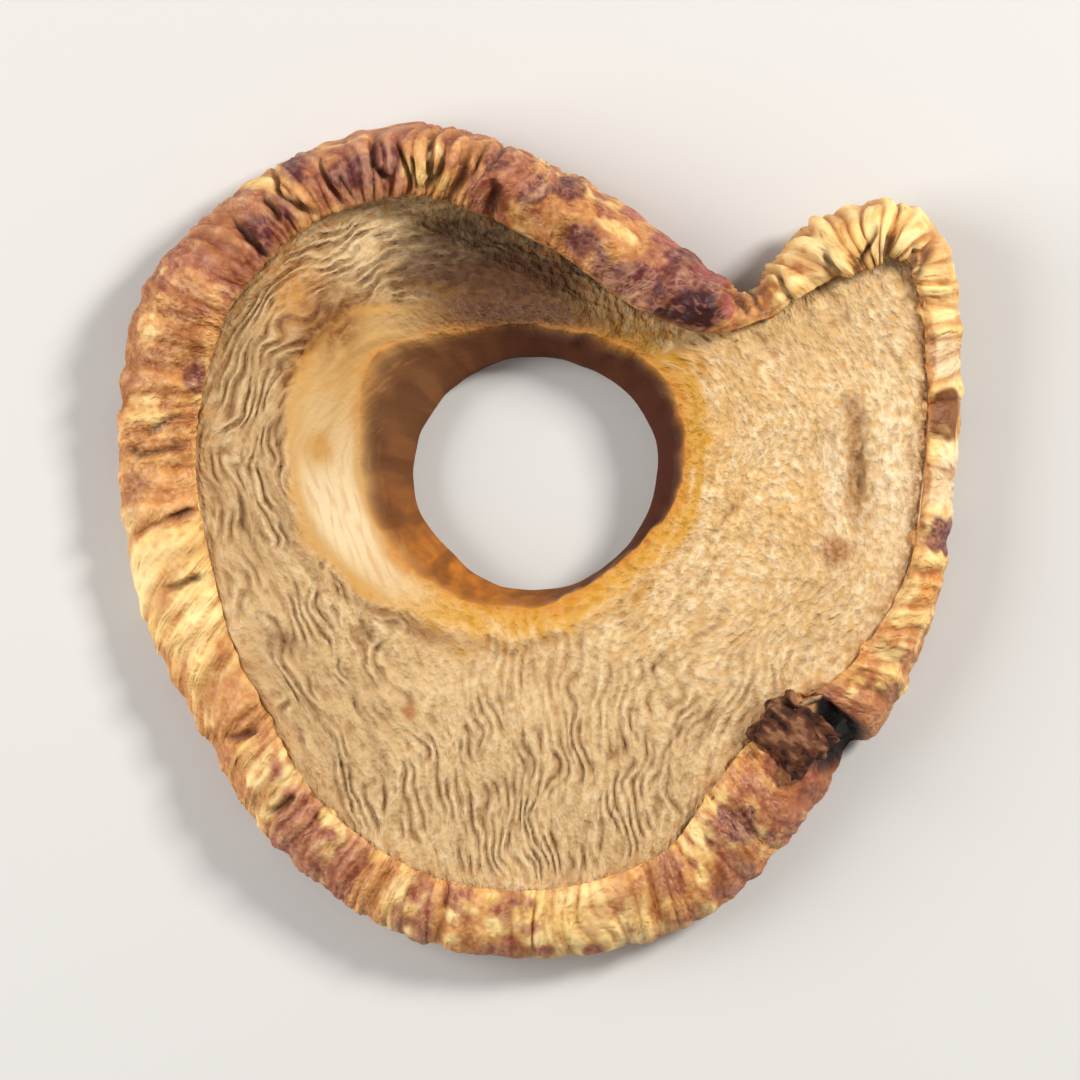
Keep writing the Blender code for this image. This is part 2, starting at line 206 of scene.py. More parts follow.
# Single folds in the shown face: depth, half width and the points that each runs through. Both ends of such
# a line taper off, and reach LINE_TAIL past its points.
LINE_TAIL = 0.8
FOLDS = (
    (0.5, 0.3, ((15.6, -15.5), (16.4, -14.2), (18.3, -12.7), (20.2, -11.8))),  # round the scab
    (0.22, 0.2, ((11.3, -3.1), (14.8, 1.4))),
    (0.24, 0.22, ((10.3, -6.3), (12.5, -3.8), (13.9, -1.9))),
    (0.2, 0.2, ((13.2, 0.0), (16.5, 3.3))),
    (0.22, 0.2, ((8.9, -10.8), (10.8, -8.9))),
    (0.25, 0.32, ((4.5, -18.3), (7.1, -16.0))),
    (0.28, 0.22, ((10.2, -16.7), (12.7, -12.9), (14.2, -11.5))),
    (0.28, 0.22, ((12.5, -15.7), (14.0, -13.7))),
    (0.4, 0.5, ((-21.2, -6.6), (-18.9, -10.6))),
    (0.25, 0.24, ((-14.3, -9.9), (-11.5, -14.8))),
    (0.45, 0.34, ((-21.3, 5.5), (-21.0, 8.9), (-20.2, 12.4), (-18.3, 15.0), (-16.1, 16.5))),
    (0.22, 0.2, ((13.2, 15.7), (15.0, 12.7))),
    (0.22, 0.2, ((15.5, 16.2), (17.2, 13.4))),
    (0.2, 0.2, ((17.6, 16.6), (18.8, 14.6))),
    (0.18, 0.25, ((27.3, 16.0), (28.6, 14.3))),
)

# Marks in the flesh by zone of colour, each made of hills, or helped by them: strength, x, y and radii
GOLD_SPOT = (-17.6, 7.3, 1.2, 1.5)
FLESH_MARKS = {
    "golden": ((0.8, -15.2, 13.2, 4.2, 4.4), (1.2, *GOLD_SPOT)),
    "dull": ((0.5, 22, 17, 8, 3.5), (0.3, *LOW_LEFT)),
    # Painted shade under the overhanging top of the peel, with some browning
    "pocket_shade": ((2, -4, 22.6, 9, 5),),
    "pale": ((1, -14.7, 22.6, 2.2, 2.8),),
    # Painted highlights on both sides of the groove
    "light": ((1, 23.5, 4.6, 0.9, 4.6), (0.7, 28.2, 5, 1.8, 8)),
    "gilded": ((1.2, -19.4, 19.6, 2.6, 3.6),),
    "blotch": ((1.4, -16.3, 17.8, 1.9, 2.9),),
    "spot": ((1.8, -10.3, -13.6, 0.5, 0.6), (1.8, 23.6, -0.9, 1.2, 1.1)),
    # Brown in the groove and a darker spot at its top, partly painted shade of its walls
    "groove": ((1.5, *GROOVE_STAIN_AND_SHADE), (1.2, 25.1, 10.5, 0.8, 0.9)),
}

# The peel's finer shape
EDGE_THICKNESS = 0.38
PEEL_THICKNESS = 0.45
THINNEST = 0.14  # of the peel in its deepest creases
CREASE_ROOM = 1.3  # extra depth inside the peel for each millimetre of its puckers
HIDDEN_GAP = 0.04  # how far below the peel's inner side the flesh under it lies
PEEL_PROUD = 0.05
EDGE_TAPER = 0.2  # how far the peel's edge sinks into the flesh where it grows smoothly out of it
NETWORK_HEIGHT = 0.07
SHEET_ROWS = 160
WARP = 0.6

# Single creases in the peel: depth, half width and the points that each runs through
CREASES = (
    (0.9, 0.24, ((-21.6, 30.1), (-20.2, 27.8), (-19.0, 26.4), (-17.7, 25.3))),  # top
    (0.4, 0.24, ((-21.5, 27.3), (-20.6, 25.5))),
    (0.8, 0.21, ((-17.5, 30.0), (-16.7, 27.8), (-15.8, 26.6))),
    (0.4, 0.21, ((-15.8, 28.6), (-14.9, 27.3))),
    (0.9, 0.24, ((-13.2, 31.8), (-12.9, 29.8), (-12.1, 28.2))),
    (0.9, 0.24, ((-11.3, 31.4), (-10.9, 29.8), (-10.3, 28.0))),
    (0.5, 0.2, ((-10.2, 30.0), (-9.5, 28.2))),
    (0.7, 0.22, ((-8.8, 31.8), (-8.7, 30.2), (-8.5, 28.6))),
    (0.9, 0.25, ((-7.6, 31.0), (-7.8, 29.8), (-8.2, 28.6), (-9.2, 27.8))),
    (1.0, 0.32, ((-5.5, 31.6), (-5.6, 29.8), (-6.5, 28.0), (-7.4, 26.5))),
    (0.6, 0.21, ((-4.3, 31.4), (-4.9, 29.4), (-5.7, 28.2))),
    (0.6, 0.21, ((-2.8, 31.4), (-4.0, 29.3))),
    (0.8, 0.45, ((-3.5, 28.2), (-4.0, 25.4))),
    (0.8, 0.24, ((-24.0, 25.5), (-22.6, 24.2), (-21.3, 22.7))),  # upper left
    (0.6, 0.24, ((18.8, 21.3), (19.5, 19.9), (20.0, 18.8))),  # lobe
    (0.8, 0.32, ((23.1, 23.2), (23.5, 21.9), (23.9, 20.9))),
    (0.7, 0.24, ((26.6, 24.7), (25.9, 22.8), (25.3, 21.3))),
    (0.6, 0.28, ((27.8, 24.0), (27.4, 22.2))),
    (0.7, 0.28, ((30.1, 23.2), (29.3, 21.2))),
    (0.7, 0.28, ((31.3, 23.4), (29.8, 20.7))),
    (0.35, 0.24, ((16.0, 20.9), (17.2, 19.0), (18.1, 18.2))),  # notch
    (0.35, 0.24, ((15.2, 19.8), (16.6, 18.1))),
    (0.6, 0.28, ((-29.4, 1.5), (-28.4, 1.9))),  # left
    (0.8, 0.28, ((-29.8, -4.1), (-27.0, -3.0))),
    (0.8, 0.28, ((-33.6, 7.3), (-31.7, 7.0), (-29.8, 7.2), (-28.2, 7.4))),
    (0.7, 0.26, ((-31.7, 8.2), (-30.6, 8.8), (-29.4, 9.7), (-28.3, 9.6))),
    (0.5, 0.3, ((-24.8, -16.1), (-22.6, -15.2))),  # lower left
    (0.7, 0.34, ((-21.3, -21.7), (-19.9, -20.7))),
)

# The crack beside the scab, which cuts through both the peel and the flesh
PIT = ((1.5, 0.9, ((21.4, -12.1), (23.4, -14.0), (25.1, -16.1), (24.0, -17.5), (22.2, -18.9))),)

# Patches of the peel by colour: x, y and radii
PEEL_PATCHES = {
    "purple": (
        (-18.9, 29.5, 1.4, 1.4), (-14.5, 29.1, 2.2, 1.8), (-11.9, 30.3, 0.9, 1.5), (-21.7, 24.7, 2.2, 2.4),
        (-3.3, 30.0, 1.0, 1.1), (-0.7, 27.8, 1.3, 1.6), (2.4, 28.0, 1.3, 1.3), (3.4, 23.7, 1.8, 1.6),
        (6.7, 20.7, 2.5, 1.5), (9.3, 19.4, 2.6, 2.6), (12.6, 19.0, 3.0, 2.6), (11.6, 22.6, 1.6, 1.0),
        (32.2, 0.2, 1.3, 1.6), (-27.3, 12.8, 0.9, 1.1), (22.4, -12.0, 1.6, 1.0), (15.5, -22.5, 2.0, 1.6),
    ),
    "maroon": ((12.5, 18.0, 2.0, 1.9), (9.2, 17.9, 1.2, 1.0)),
    "pink": ((15.0, 18.8, 0.6, 1.6), (13.6, 21.4, 1.5, 0.8), (10.3, 23.9, 1.7, 0.9), (8.0, 26.2, 1.3, 0.8)),
    "russet": ((26.4, -13.9, 1.9, 2.2), (21.0, -21.0, 2.4, 2.2)),
    # Brown where the peel is crumpled at the right; painted shade at the lobe's inner edge and under a ridge
    # at the top
    "dark": ((32.4, 9.9, 1.6, 1.9), (28.4, 21.0, 1.3, 0.6), (-3.6, 26.8, 1.2, 1.9)),
    "amber": ((31.0, -3.8, 1.6, 1.9),),
    "cream": ((32.4, 4.6, 1.6, 3.0), (32.6, 14.4, 1.4, 1.6)),
}

MID_GREY = [0.5, 0.5, 0.5, 1]  # stands for noise where it takes no part
SCATTER = 0.0008  # how far light spreads under the surface, in metres

# Light and camera, in metres and watts
LIGHTS = (
    ("key", (0.37, 0.22, 0.33), 0.12, 3.1, (1.0, 0.97, 0.92)),
    ("fill", (-0.40, 0.04, 0.25), 0.35, 2.2, (1.0, 0.98, 0.96)),
)
SKY = 0.30
CAMERA_HEIGHT = 0.5
VIEW_WIDTH = 0.086
VIEW_LEVEL = 0.006  # height at which the view is VIEW_WIDTH wide
SENSOR = 36


def eased(t):
    """Rises from 0 at t = 0 to 1 at t = 1, level at both ends."""
    t = np.clip(t, 0, 1)
    return t * t * (3 - 2 * t)


def bell(t):
    """1 at t = 0, falling to 0 on both sides."""
    return np.exp(-(t**2))


def hill(x, y, shape):
    """1 at the middle of shape = (x, y, radius along x, radius along y), falling to 0 around it."""
    cx, cy, rx, ry = shape
    return np.exp(-(((x - cx) / rx) ** 2) - ((y - cy) / ry) ** 2)


def swell(angle, centre, spread):
    """The same round a circle: angle is in radians, centre and spread in degrees."""
    return bell(((np.degrees(angle) - centre + 180) % 360 - 180) / spread)


def even_edge(x, y):
    """Where the flesh and the peel meet without a step, from 0 to 1: at the right and the left."""
    angle = np.arctan2(y, x)
    return np.maximum(swell(angle, 2, 38), 0.9 * swell(angle, 185, 62))


def right_seam_shade(x, y):
    """Painted shade along the seam, from 0 to 1: at the right."""
    return swell(np.arctan2(y, x), 16, 27)


def catmull_rom(p0, p1, p2, p3, t):
    """A point between p1 and p2 on the smooth curve through the four."""
    a = 2 * p0 - 5 * p1 + 4 * p2 - p3
    b = 3 * p1 - p0 - 3 * p2 + p3
    return 0.5 * (2 * p1 + (p2 - p0) * t + a * t**2 + b * t**3)


def round_curve(rows, t):
    """A closed smooth curve through rows, read at t, in rows from the first."""
    whole = np.floor(t).astype(int)
    near = [rows[(whole + k) % len(rows)] for k in (-1, 0, 1, 2)]
    return catmull_rom(*near, (t - whole)[:, None])


def open_curve(points, places):
    """The smooth curve through points, each an array of rows, read at places."""
    padded = [2 * points[0] - points[1], *points, 2 * points[-1] - points[-2]]
    starts = [min(int(t), len(points) - 2) for t in places]
    return [catmull_rom(*padded[k:k + 4], t - k) for k, t in zip(starts, places)]


def even_places(count):
    """Places that are evenly spaced along the outline, counted in stations, and the outline's length."""
    fine = np.linspace(0, len(SHAPES), len(SHAPES) * 60, endpoint=False)
    outline = round_curve(SHAPES, fine)[:, :2]
    steps = np.linalg.norm(np.roll(outline, -1, 0) - outline, axis=1)
    travelled = np.concatenate([[0], np.cumsum(steps)])
    wanted = np.linspace(0, travelled[-1], count, endpoint=False)
    return np.interp(wanted, travelled, np.append(fine, len(SHAPES))), travelled[-1]


def evened(rows):
    """Rows round the ring, each the weighted mean of those within a short reach."""
    reach = round(len(rows) * EVEN_REACH)
    weights = np.hanning(2 * reach + 3)[1:-1]
    shifted = [w * np.roll(rows, k, 0) for k, w in zip(range(-reach, reach + 1), weights)]
    return sum(shifted) / weights.sum()


def inward_normals(outline):
    """Unit vectors from a counter-clockwise outline towards its inside, evened out at sharp turns."""
    along = np.roll(outline, -1, 0) - np.roll(outline, 1, 0)
    along = evened(along / np.linalg.norm(along, axis=1)[:, None])
    along /= np.linalg.norm(along, axis=1)[:, None]
    return np.stack([-along[:, 1], along[:, 0]], axis=1)


def hole_angle(x, y):
    """Angle round the hole's middle."""
    return np.arctan2(y - HOLE[1], x - HOLE[0])


def hole_angles(border):
    """For each border point the angle of its lip point, which rises all the way round the hole."""
    turn = np.linspace(0, 2 * math.pi, len(border), endpoint=False)
    seen = np.unwrap(hole_angle(*border.T))
    highest_so_far = np.maximum.accumulate(seen)
    lowest_to_come = np.minimum.accumulate(seen[::-1])[::-1]
    rising = (highest_so_far + lowest_to_come) / 2
    return turn + LIP_FOLLOWS * evened(rising - turn)


def ellipse_radius(angle, half_size):
    """Distance from an ellipse's middle to its edge."""
    return 1 / np.hypot(np.cos(angle) / half_size[0], np.sin(angle) / half_size[1])


def lip_radius(angle):
    """Distance from the hole's middle to its lip."""
    radius = ellipse_radius(angle, LIP_HALF_SIZE)
    for centre, extra, spread in LIP_CORNERS:
        radius = radius + extra * swell(angle, centre, spread)
    return radius


def core_zone(angle):
    """How far the smooth core zone reaches past the lip, and its share as a crescent."""
    crescent = swell(angle, CORE_ZONE_ANGLE, CORE_ZONE_SPREAD)
    return CORE_ZONE_WIDTH + CORE_ZONE_EXTRA * crescent, crescent


def swells(x, y):
    """The flesh's shallow unevenness, from about -1 to 1."""
    draw = random.Random(FLESH_SEED)
    total = 0
    for length in FLESH_WAVES:
        heading = draw.uniform(0, math.pi)
        along = x * math.cos(heading) + y * math.sin(heading)
        total = total + np.sin(2 * math.pi * along / length + draw.uniform(0, 2 * math.pi))
    return total / len(FLESH_WAVES)


def plate_top(x, y):
    """Height of the shown face without the core zone and small marks."""
    z = FLESH_LEVEL - LEFT_FALL * eased((LEFT_FALL_FROM - x) / LEFT_FALL_LENGTH)
    z = z - BOTTOM_FALL * eased((BOTTOM_FALL_FROM - y) / BOTTOM_FALL_LENGTH)
    return z - POCKET_DEPTH * hill(x, y, POCKET) + FLESH_UNEVEN * swells(x, y)


def past_zone(x, y):
    """Distance outside the core zone's outer edge, the zone's width there and its share as a crescent."""
    angle = hole_angle(x, y)
    zone, crescent = core_zone(angle)
    return np.hypot(x - HOLE[0], y - HOLE[1]) - lip_radius(angle) - zone, zone, crescent


def flesh_top(x, y):
    """Height of the shown face."""
    past, zone, crescent = past_zone(x, y)
    rise = CREST_RISE * crescent
    fall = CORE_FALL + CORE_FALL_EXTRA * crescent + rise
    z = plate_top(x, y) + rise * np.exp(-((np.maximum(past, 0) / CREST_FADE) ** 1.4))
    z = z - fall * np.clip(-past / zone, 0, 1.2) ** 1.3
    z = z - GROOVE_DEPTH * hill(x, y, GROOVE) - DENT_DEPTH * hill(x, y, DENT)
    return z - CRACK_DEPTH * hill(x, y, CRACK)


def foot_level(x, y):
    """Height of the ring's foot: 0 where it rests, and arched between."""
    angle = np.arctan2(y, x)
    arch = 0.5 - 0.5 * np.cos(RESTS * (angle - FIRST_REST))
    return FOOT_LIFT * arch + LOBE_LIFT * swell(angle, LOBE_ANGLE, LOBE_SPREAD)


def flesh_back(x, y):
    """Height of the back face, which follows the shown one a slice's thickness below."""
    thickness = FLESH_THICKNESS + CORE_THICKER * hill(x, y, (*HOLE, CORE_REACH, CORE_REACH))
    level = plate_top(x, y) - thickness - LOWEST_BACK
    return LOWEST_BACK + np.hypot(level, BACK_EASE) / 2 + level / 2


def puckers(count):
    """Broad ridges and creases of the peel round the ring, from -1 to 1."""
    draw = random.Random(PUCKER_SEED)
    turn = np.linspace(0, 2 * math.pi, count, endpoint=False)
    waves = [np.sin(n * turn + draw.uniform(0, 2 * math.pi)) for n in PUCKERS]
    return sum(waves) / len(PUCKERS)


def at(plan, z):
    """Rows of x, y, z."""
    return np.concatenate([plan, np.broadcast_to(z, len(plan))[:, None]], axis=1)


class Loft:
    """The ring's guide curves for a number of segments round it, and the peel's looks there."""

    def __init__(self, count):
        places, self.length = even_places(count)
        x, y, width, crest, roll = round_curve(SHAPES, places).T
        outline = np.stack([x, y], axis=1)
        normals = inward_normals(outline)
        angle = hole_angles(outline + normals * width[:, None])
        self.spoke = np.stack([np.cos(angle), np.sin(angle)], axis=1)
        self.lip = np.array(HOLE) + self.spoke * lip_radius(angle)[:, None]
        self.crest_line = self.lip + self.spoke * core_zone(angle)[0][:, None]
        back_lip = np.array(BACK_HOLE) + self.spoke * ellipse_radius(angle, BACK_HOLE_HALF_SIZE)[:, None]
        pucker = PUCKER_DEPTH * puckers(count)

        def inset(distance):
            return outline + normals * distance[:, None]

        # The peel band: its foot, outermost point, shoulder, crest, cut edge and the seam under it
        tuck = ROLL_TUCK * roll
        self.border = inset(width)
        self.seam = inset(width - tuck)
        seam_z = flesh_top(*self.seam.T)
        edge_z = seam_z + EDGE_LIFT + ROLL_LIFT * roll
        crest = np.maximum(crest, edge_z + CREST_OVER_EDGE)
        crest_at = width * (CREST_PLACE - CREST_SHIFT * roll)
        foot_z = foot_level(*outline.T)
        outer_z = foot_z + OUTER_LEVEL
        shoulder_z = outer_z + SHOULDER_RISE * (crest - outer_z)
        self.band = [
            at(inset(np.full(count, FOOT_INSET)), foot_z),
            at(inset(-0.5 * pucker), foot_z + OUTER_LEVEL * 0.55),
            at(inset(-0.6 * pucker), outer_z),
            at(inset(crest_at * SHOULDER_PLACE - 0.7 * pucker), shoulder_z + 0.5 * pucker),
            at(inset(crest_at - 0.2 * pucker), crest + pucker),
            at(inset(width - 0.15 * (width - crest_at)), 0.55 * edge_z + 0.45 * crest + 0.6 * pucker),
            at(self.border, edge_z),
        ]
        self.under_edge = [
            at(inset(width - 0.75 * tuck), seam_z + 0.45 * (edge_z - seam_z)),
            at(self.seam, seam_z),
        ]

        # The bore and the back
        lip_z = flesh_top(*self.lip.T)
        back_z = flesh_back(*back_lip.T)
        self.bore = [
            at(self.lip, lip_z),
            at(self.lip + (back_lip - self.lip) * 0.45, back_z + 0.62 * (lip_z - back_z)),
            at(back_lip, back_z + 0.5),
            at(back_lip + self.spoke * 0.5, back_z),
        ]
        between = (back_lip + self.border) / 2
        self.back = [
            self.bore[-1],
            at(between, flesh_back(*between.T)),
            at(self.border, flesh_back(*self.border.T)),
            self.band[0],
        ]

        # The looks go smoothly from each station to the next
        whole = np.floor(places).astype(int) % len(LOOKS)
        share = eased(places - np.floor(places))[:, None]
        mixed = LOOKS[whole] * (1 - share) + LOOKS[(whole + 1) % len(LOOKS)] * share
        self.looks = dict(zip(LOOK_NAMES, mixed.T))


def surface_normals(grid, open_rows=False):
    """Outward unit normals of a grid of rows of points that closes round the ring."""
    round_step = np.roll(grid, -1, 1) - np.roll(grid, 1, 1)
    if open_rows:
        section_step = np.gradient(grid, axis=0)
    else:
        section_step = np.roll(grid, -1, 0) - np.roll(grid, 1, 0)
    out = np.cross(round_step, section_step)
    return out / np.maximum(np.linalg.norm(out, axis=2), 1e-9)[:, :, None]


def soft_noise(shape, reach, seed):
    """A random field that wraps round, with mean 0 and spread 1. Reach is its softness in cells."""
    spectrum = np.fft.rfft2(np.random.default_rng(seed).standard_normal(shape))
    down = np.fft.fftfreq(shape[0])[:, None] * reach[0]
    across = np.fft.rfftfreq(shape[1])[None, :] * reach[1]
    spectrum *= np.exp(-2 * math.pi**2 * (down**2 + across**2))
    spectrum[0, 0] = 0
    field = np.fft.irfft2(spectrum, s=shape)
    return field / field.std()


def read(field, row, column):
    """The field between its cells, wrapping round at its edges."""
    r, c = np.floor(row).astype(int), np.floor(column).astype(int)
    fr, fc = row - r, column - c
    rows, columns = field.shape
    r0, r1, c0, c1 = r % rows, (r + 1) % rows, c % columns, (c + 1) % columns
    upper = field[r0, c0] * (1 - fc) + field[r0, c1] * fc
    lower = field[r1, c0] * (1 - fc) + field[r1, c1] * fc
    return upper * (1 - fr) + lower * fr


def fibre_headings(x, y):
    """Headings of the flesh's fibres in radians, blended from the places in FIBRES."""
    doubled_x, doubled_y = 0, 0
    for fx, fy, heading in FIBRES:
        weight = 1 / ((x - fx) ** 2 + (y - fy) ** 2 + FIBRE_EASE**2) ** 2
        doubled_x = doubled_x + weight * math.cos(2 * math.radians(heading))
        doubled_y = doubled_y + weight * math.sin(2 * math.radians(heading))
    return np.arctan2(doubled_y, doubled_x) / 2


def matched(wanted, weights):
    """Numbers on a grid whose steps from cell to cell, down and round, come nearest to the wanted ones."""

    def gathered(down, around):
        total = np.zeros((down.shape[0] + 1, down.shape[1]))
        total[1:] += weights[0] * down
        total[:-1] -= weights[0] * down
        total[:, 1:] += weights[1] * around
        total[:, :-1] -= weights[1] * around
        return total

    left = gathered(*wanted)
    found = np.zeros(left.shape)
    going = left.copy()
    error = (left**2).sum()
    for _ in range(MATCH_STEPS):
        pull = gathered(np.diff(going, axis=0), np.diff(going, axis=1))
        step = error / (going * pull).sum()
        found += step * going
        left -= step * pull
        before, error = error, (left**2).sum()
        going = left + error / before * going
    return found


def fibre_coordinates(x, y):
    """Where places in the plan are across and along the flesh's fibres, and how far from the seam."""
    radii, turns = np.linspace(*FIBRE_RADII), np.linspace(0, 2 * math.pi, FIBRE_COLUMNS)
    radius, angle = np.meshgrid(radii, FIBRE_SEAM + turns, indexing="ij")
    grid = HOLE[0] + radius * np.cos(angle), HOLE[1] + radius * np.sin(angle)
    towards = np.radians(np.interp(np.degrees(angle), *zip(*FIBRE_TURNS)))
    heading = fibre_headings(*grid)
    heading = np.where(np.cos(heading - towards) < 0, heading + math.pi, heading)
    step_down, step_round = radii[1] - radii[0], turns[1] * radius
    weights = (step_round[1:] + step_round[:-1]) / 2 / step_down, step_down / step_round[:, 1:]

    reach = np.hypot(x - HOLE[0], y - HOLE[1])
    row = np.clip((reach - radii[0]) / step_down, 0, len(radii) - 1.001)
    turned = (hole_angle(x, y) - FIBRE_SEAM) % (2 * math.pi)
    found = []
    for quarter in (math.pi / 2, 0):
        ways = np.cos(heading + quarter), np.sin(heading + quarter)
        down = sum(np.diff(line, axis=0) * (way[1:] + way[:-1]) / 2 for line, way in zip(grid, ways))
        around = sum(np.diff(line) * (way[:, 1:] + way[:, :-1]) / 2 for line, way in zip(grid, ways))
        found.append(read(matched((down, around), weights), row, turned / turns[1]))
    return (*found, reach * np.minimum(turned, 2 * math.pi - turned))


def noise_at(row, column, field, reach, seed):
    """Noise at places in a field. They and its softness, reach, are in millimetres, down and across."""
    shape, down, across = field
    return read(soft_noise(shape, (reach[0] / down, reach[1] / across), seed), row / down, column / across)


def puffed(field, sharp=2.2, soft=0.6):
    """Turns a field into rounded ridges with narrow creases between, from 0 to 1."""
    return 1 - np.exp(-sharp * (np.hypot(field, soft) - soft))


def line_distance(x, y, points):
    """Distance in the plan to the nearest place on a line through points, and that place from 0 to 1."""
    nearest = np.full(x.shape, np.inf)
    place = np.zeros(x.shape)
    for k, ((ax, ay), (bx, by)) in enumerate(zip(points, points[1:])):
        along_x, along_y = bx - ax, by - ay
        share = ((x - ax) * along_x + (y - ay) * along_y) / (along_x**2 + along_y**2)
        share = np.clip(share, 0, 1)
        away = np.hypot(x - ax - share * along_x, y - ay - share * along_y)
        place = np.where(away < nearest, (k + share) / (len(points) - 1), place)
        nearest = np.minimum(nearest, away)
    return nearest, place


def lengthened(start, after):
    """The start of a line moved on by LINE_TAIL, away from the point after it."""
    away = np.subtract(start, after)
    return tuple(start + away / np.linalg.norm(away) * LINE_TAIL)


def cut_lines(x, y, lines):
    """How deep lines cut at places in the plan, in millimetres, and how dark they are, from 0 to 1."""
    deep = np.zeros(x.shape)
    dark = np.zeros(x.shape)
    for depth, half_width, points in lines:
        points = [lengthened(points[0], points[1]), *points[1:-1], lengthened(points[-1], points[-2])]
        away, place = line_distance(x, y, points)
        near = bell(away / half_width) * eased(3.5 * np.minimum(place, 1 - place))
        deep = np.maximum(deep, depth * near)
        dark = np.maximum(dark, near)
    return deep, dark


def patchy(share, field, softness=0.9):
    """Covers that share of a surface, from 0 to 1, in irregular patches where the field is low."""
    cover = eased(0.5 + (2.6 * (share - 0.5) - field) / softness)
    return cover * np.clip(4 * share, 0, 1)


def peel_room(down, depth):
    """How far the peel's inner side lies below its skin, for the share of the way down from its cut edge."""
    full = PEEL_THICKNESS + CREASE_ROOM * depth
    return EDGE_THICKNESS + (full - EDGE_THICKNESS) * eased(down / 0.2)


def rows_between(start, end, count, ease=1.0):
    """Rows on the shown face between two rows of its plan, closer together at the end for ease above 1."""
    shares = 1 - (1 - np.linspace(0, 1, count, endpoint=False)) ** ease
    plans = [start + (end - start) * share for share in shares]
    return [at(plan, flesh_top(*plan.T)) for plan in plans]


def closed_mesh(name, grid, shift):
    """A mesh from a grid that closes both ways, with nothing below the surface it lies on."""
    grid[:, :, 2] = np.maximum(grid[:, :, 2], shift[2])
    rows, columns = grid.shape[:2]
    index = np.arange(rows * columns).reshape(rows, columns)
    below, beside = np.roll(index, -1, 0), np.roll(index, -1, 1)
    corners = np.stack([index, beside, np.roll(below, -1, 1), below], axis=2).reshape(-1, 4)
    mesh = bpy.data.meshes.new(name)
    mesh.from_pydata(((grid.reshape(-1, 3) - shift) * MM).tolist(), [], corners.tolist())
    return mesh


def in_scene(name, data):
    """An object of that data in the scene."""
    thing = bpy.data.objects.new(name, data)
    bpy.context.scene.collection.objects.link(thing)
    return thing


def smooth_piece(name, mesh, attributes, material):
    """An object with a material and with attributes, grids of numbers or vectors for each vertex."""
    for label, values in attributes.items():
        kind, field = ("FLOAT", "value") if values.ndim == 2 else ("FLOAT_VECTOR", "vector")
        layer = mesh.attributes.new(label, kind, "POINT")
        layer.data.foreach_set(field, np.ascontiguousarray(values, dtype=np.float32).ravel())
    mesh.shade_smooth()
    mesh.materials.append(material)
    return in_scene(name, mesh)


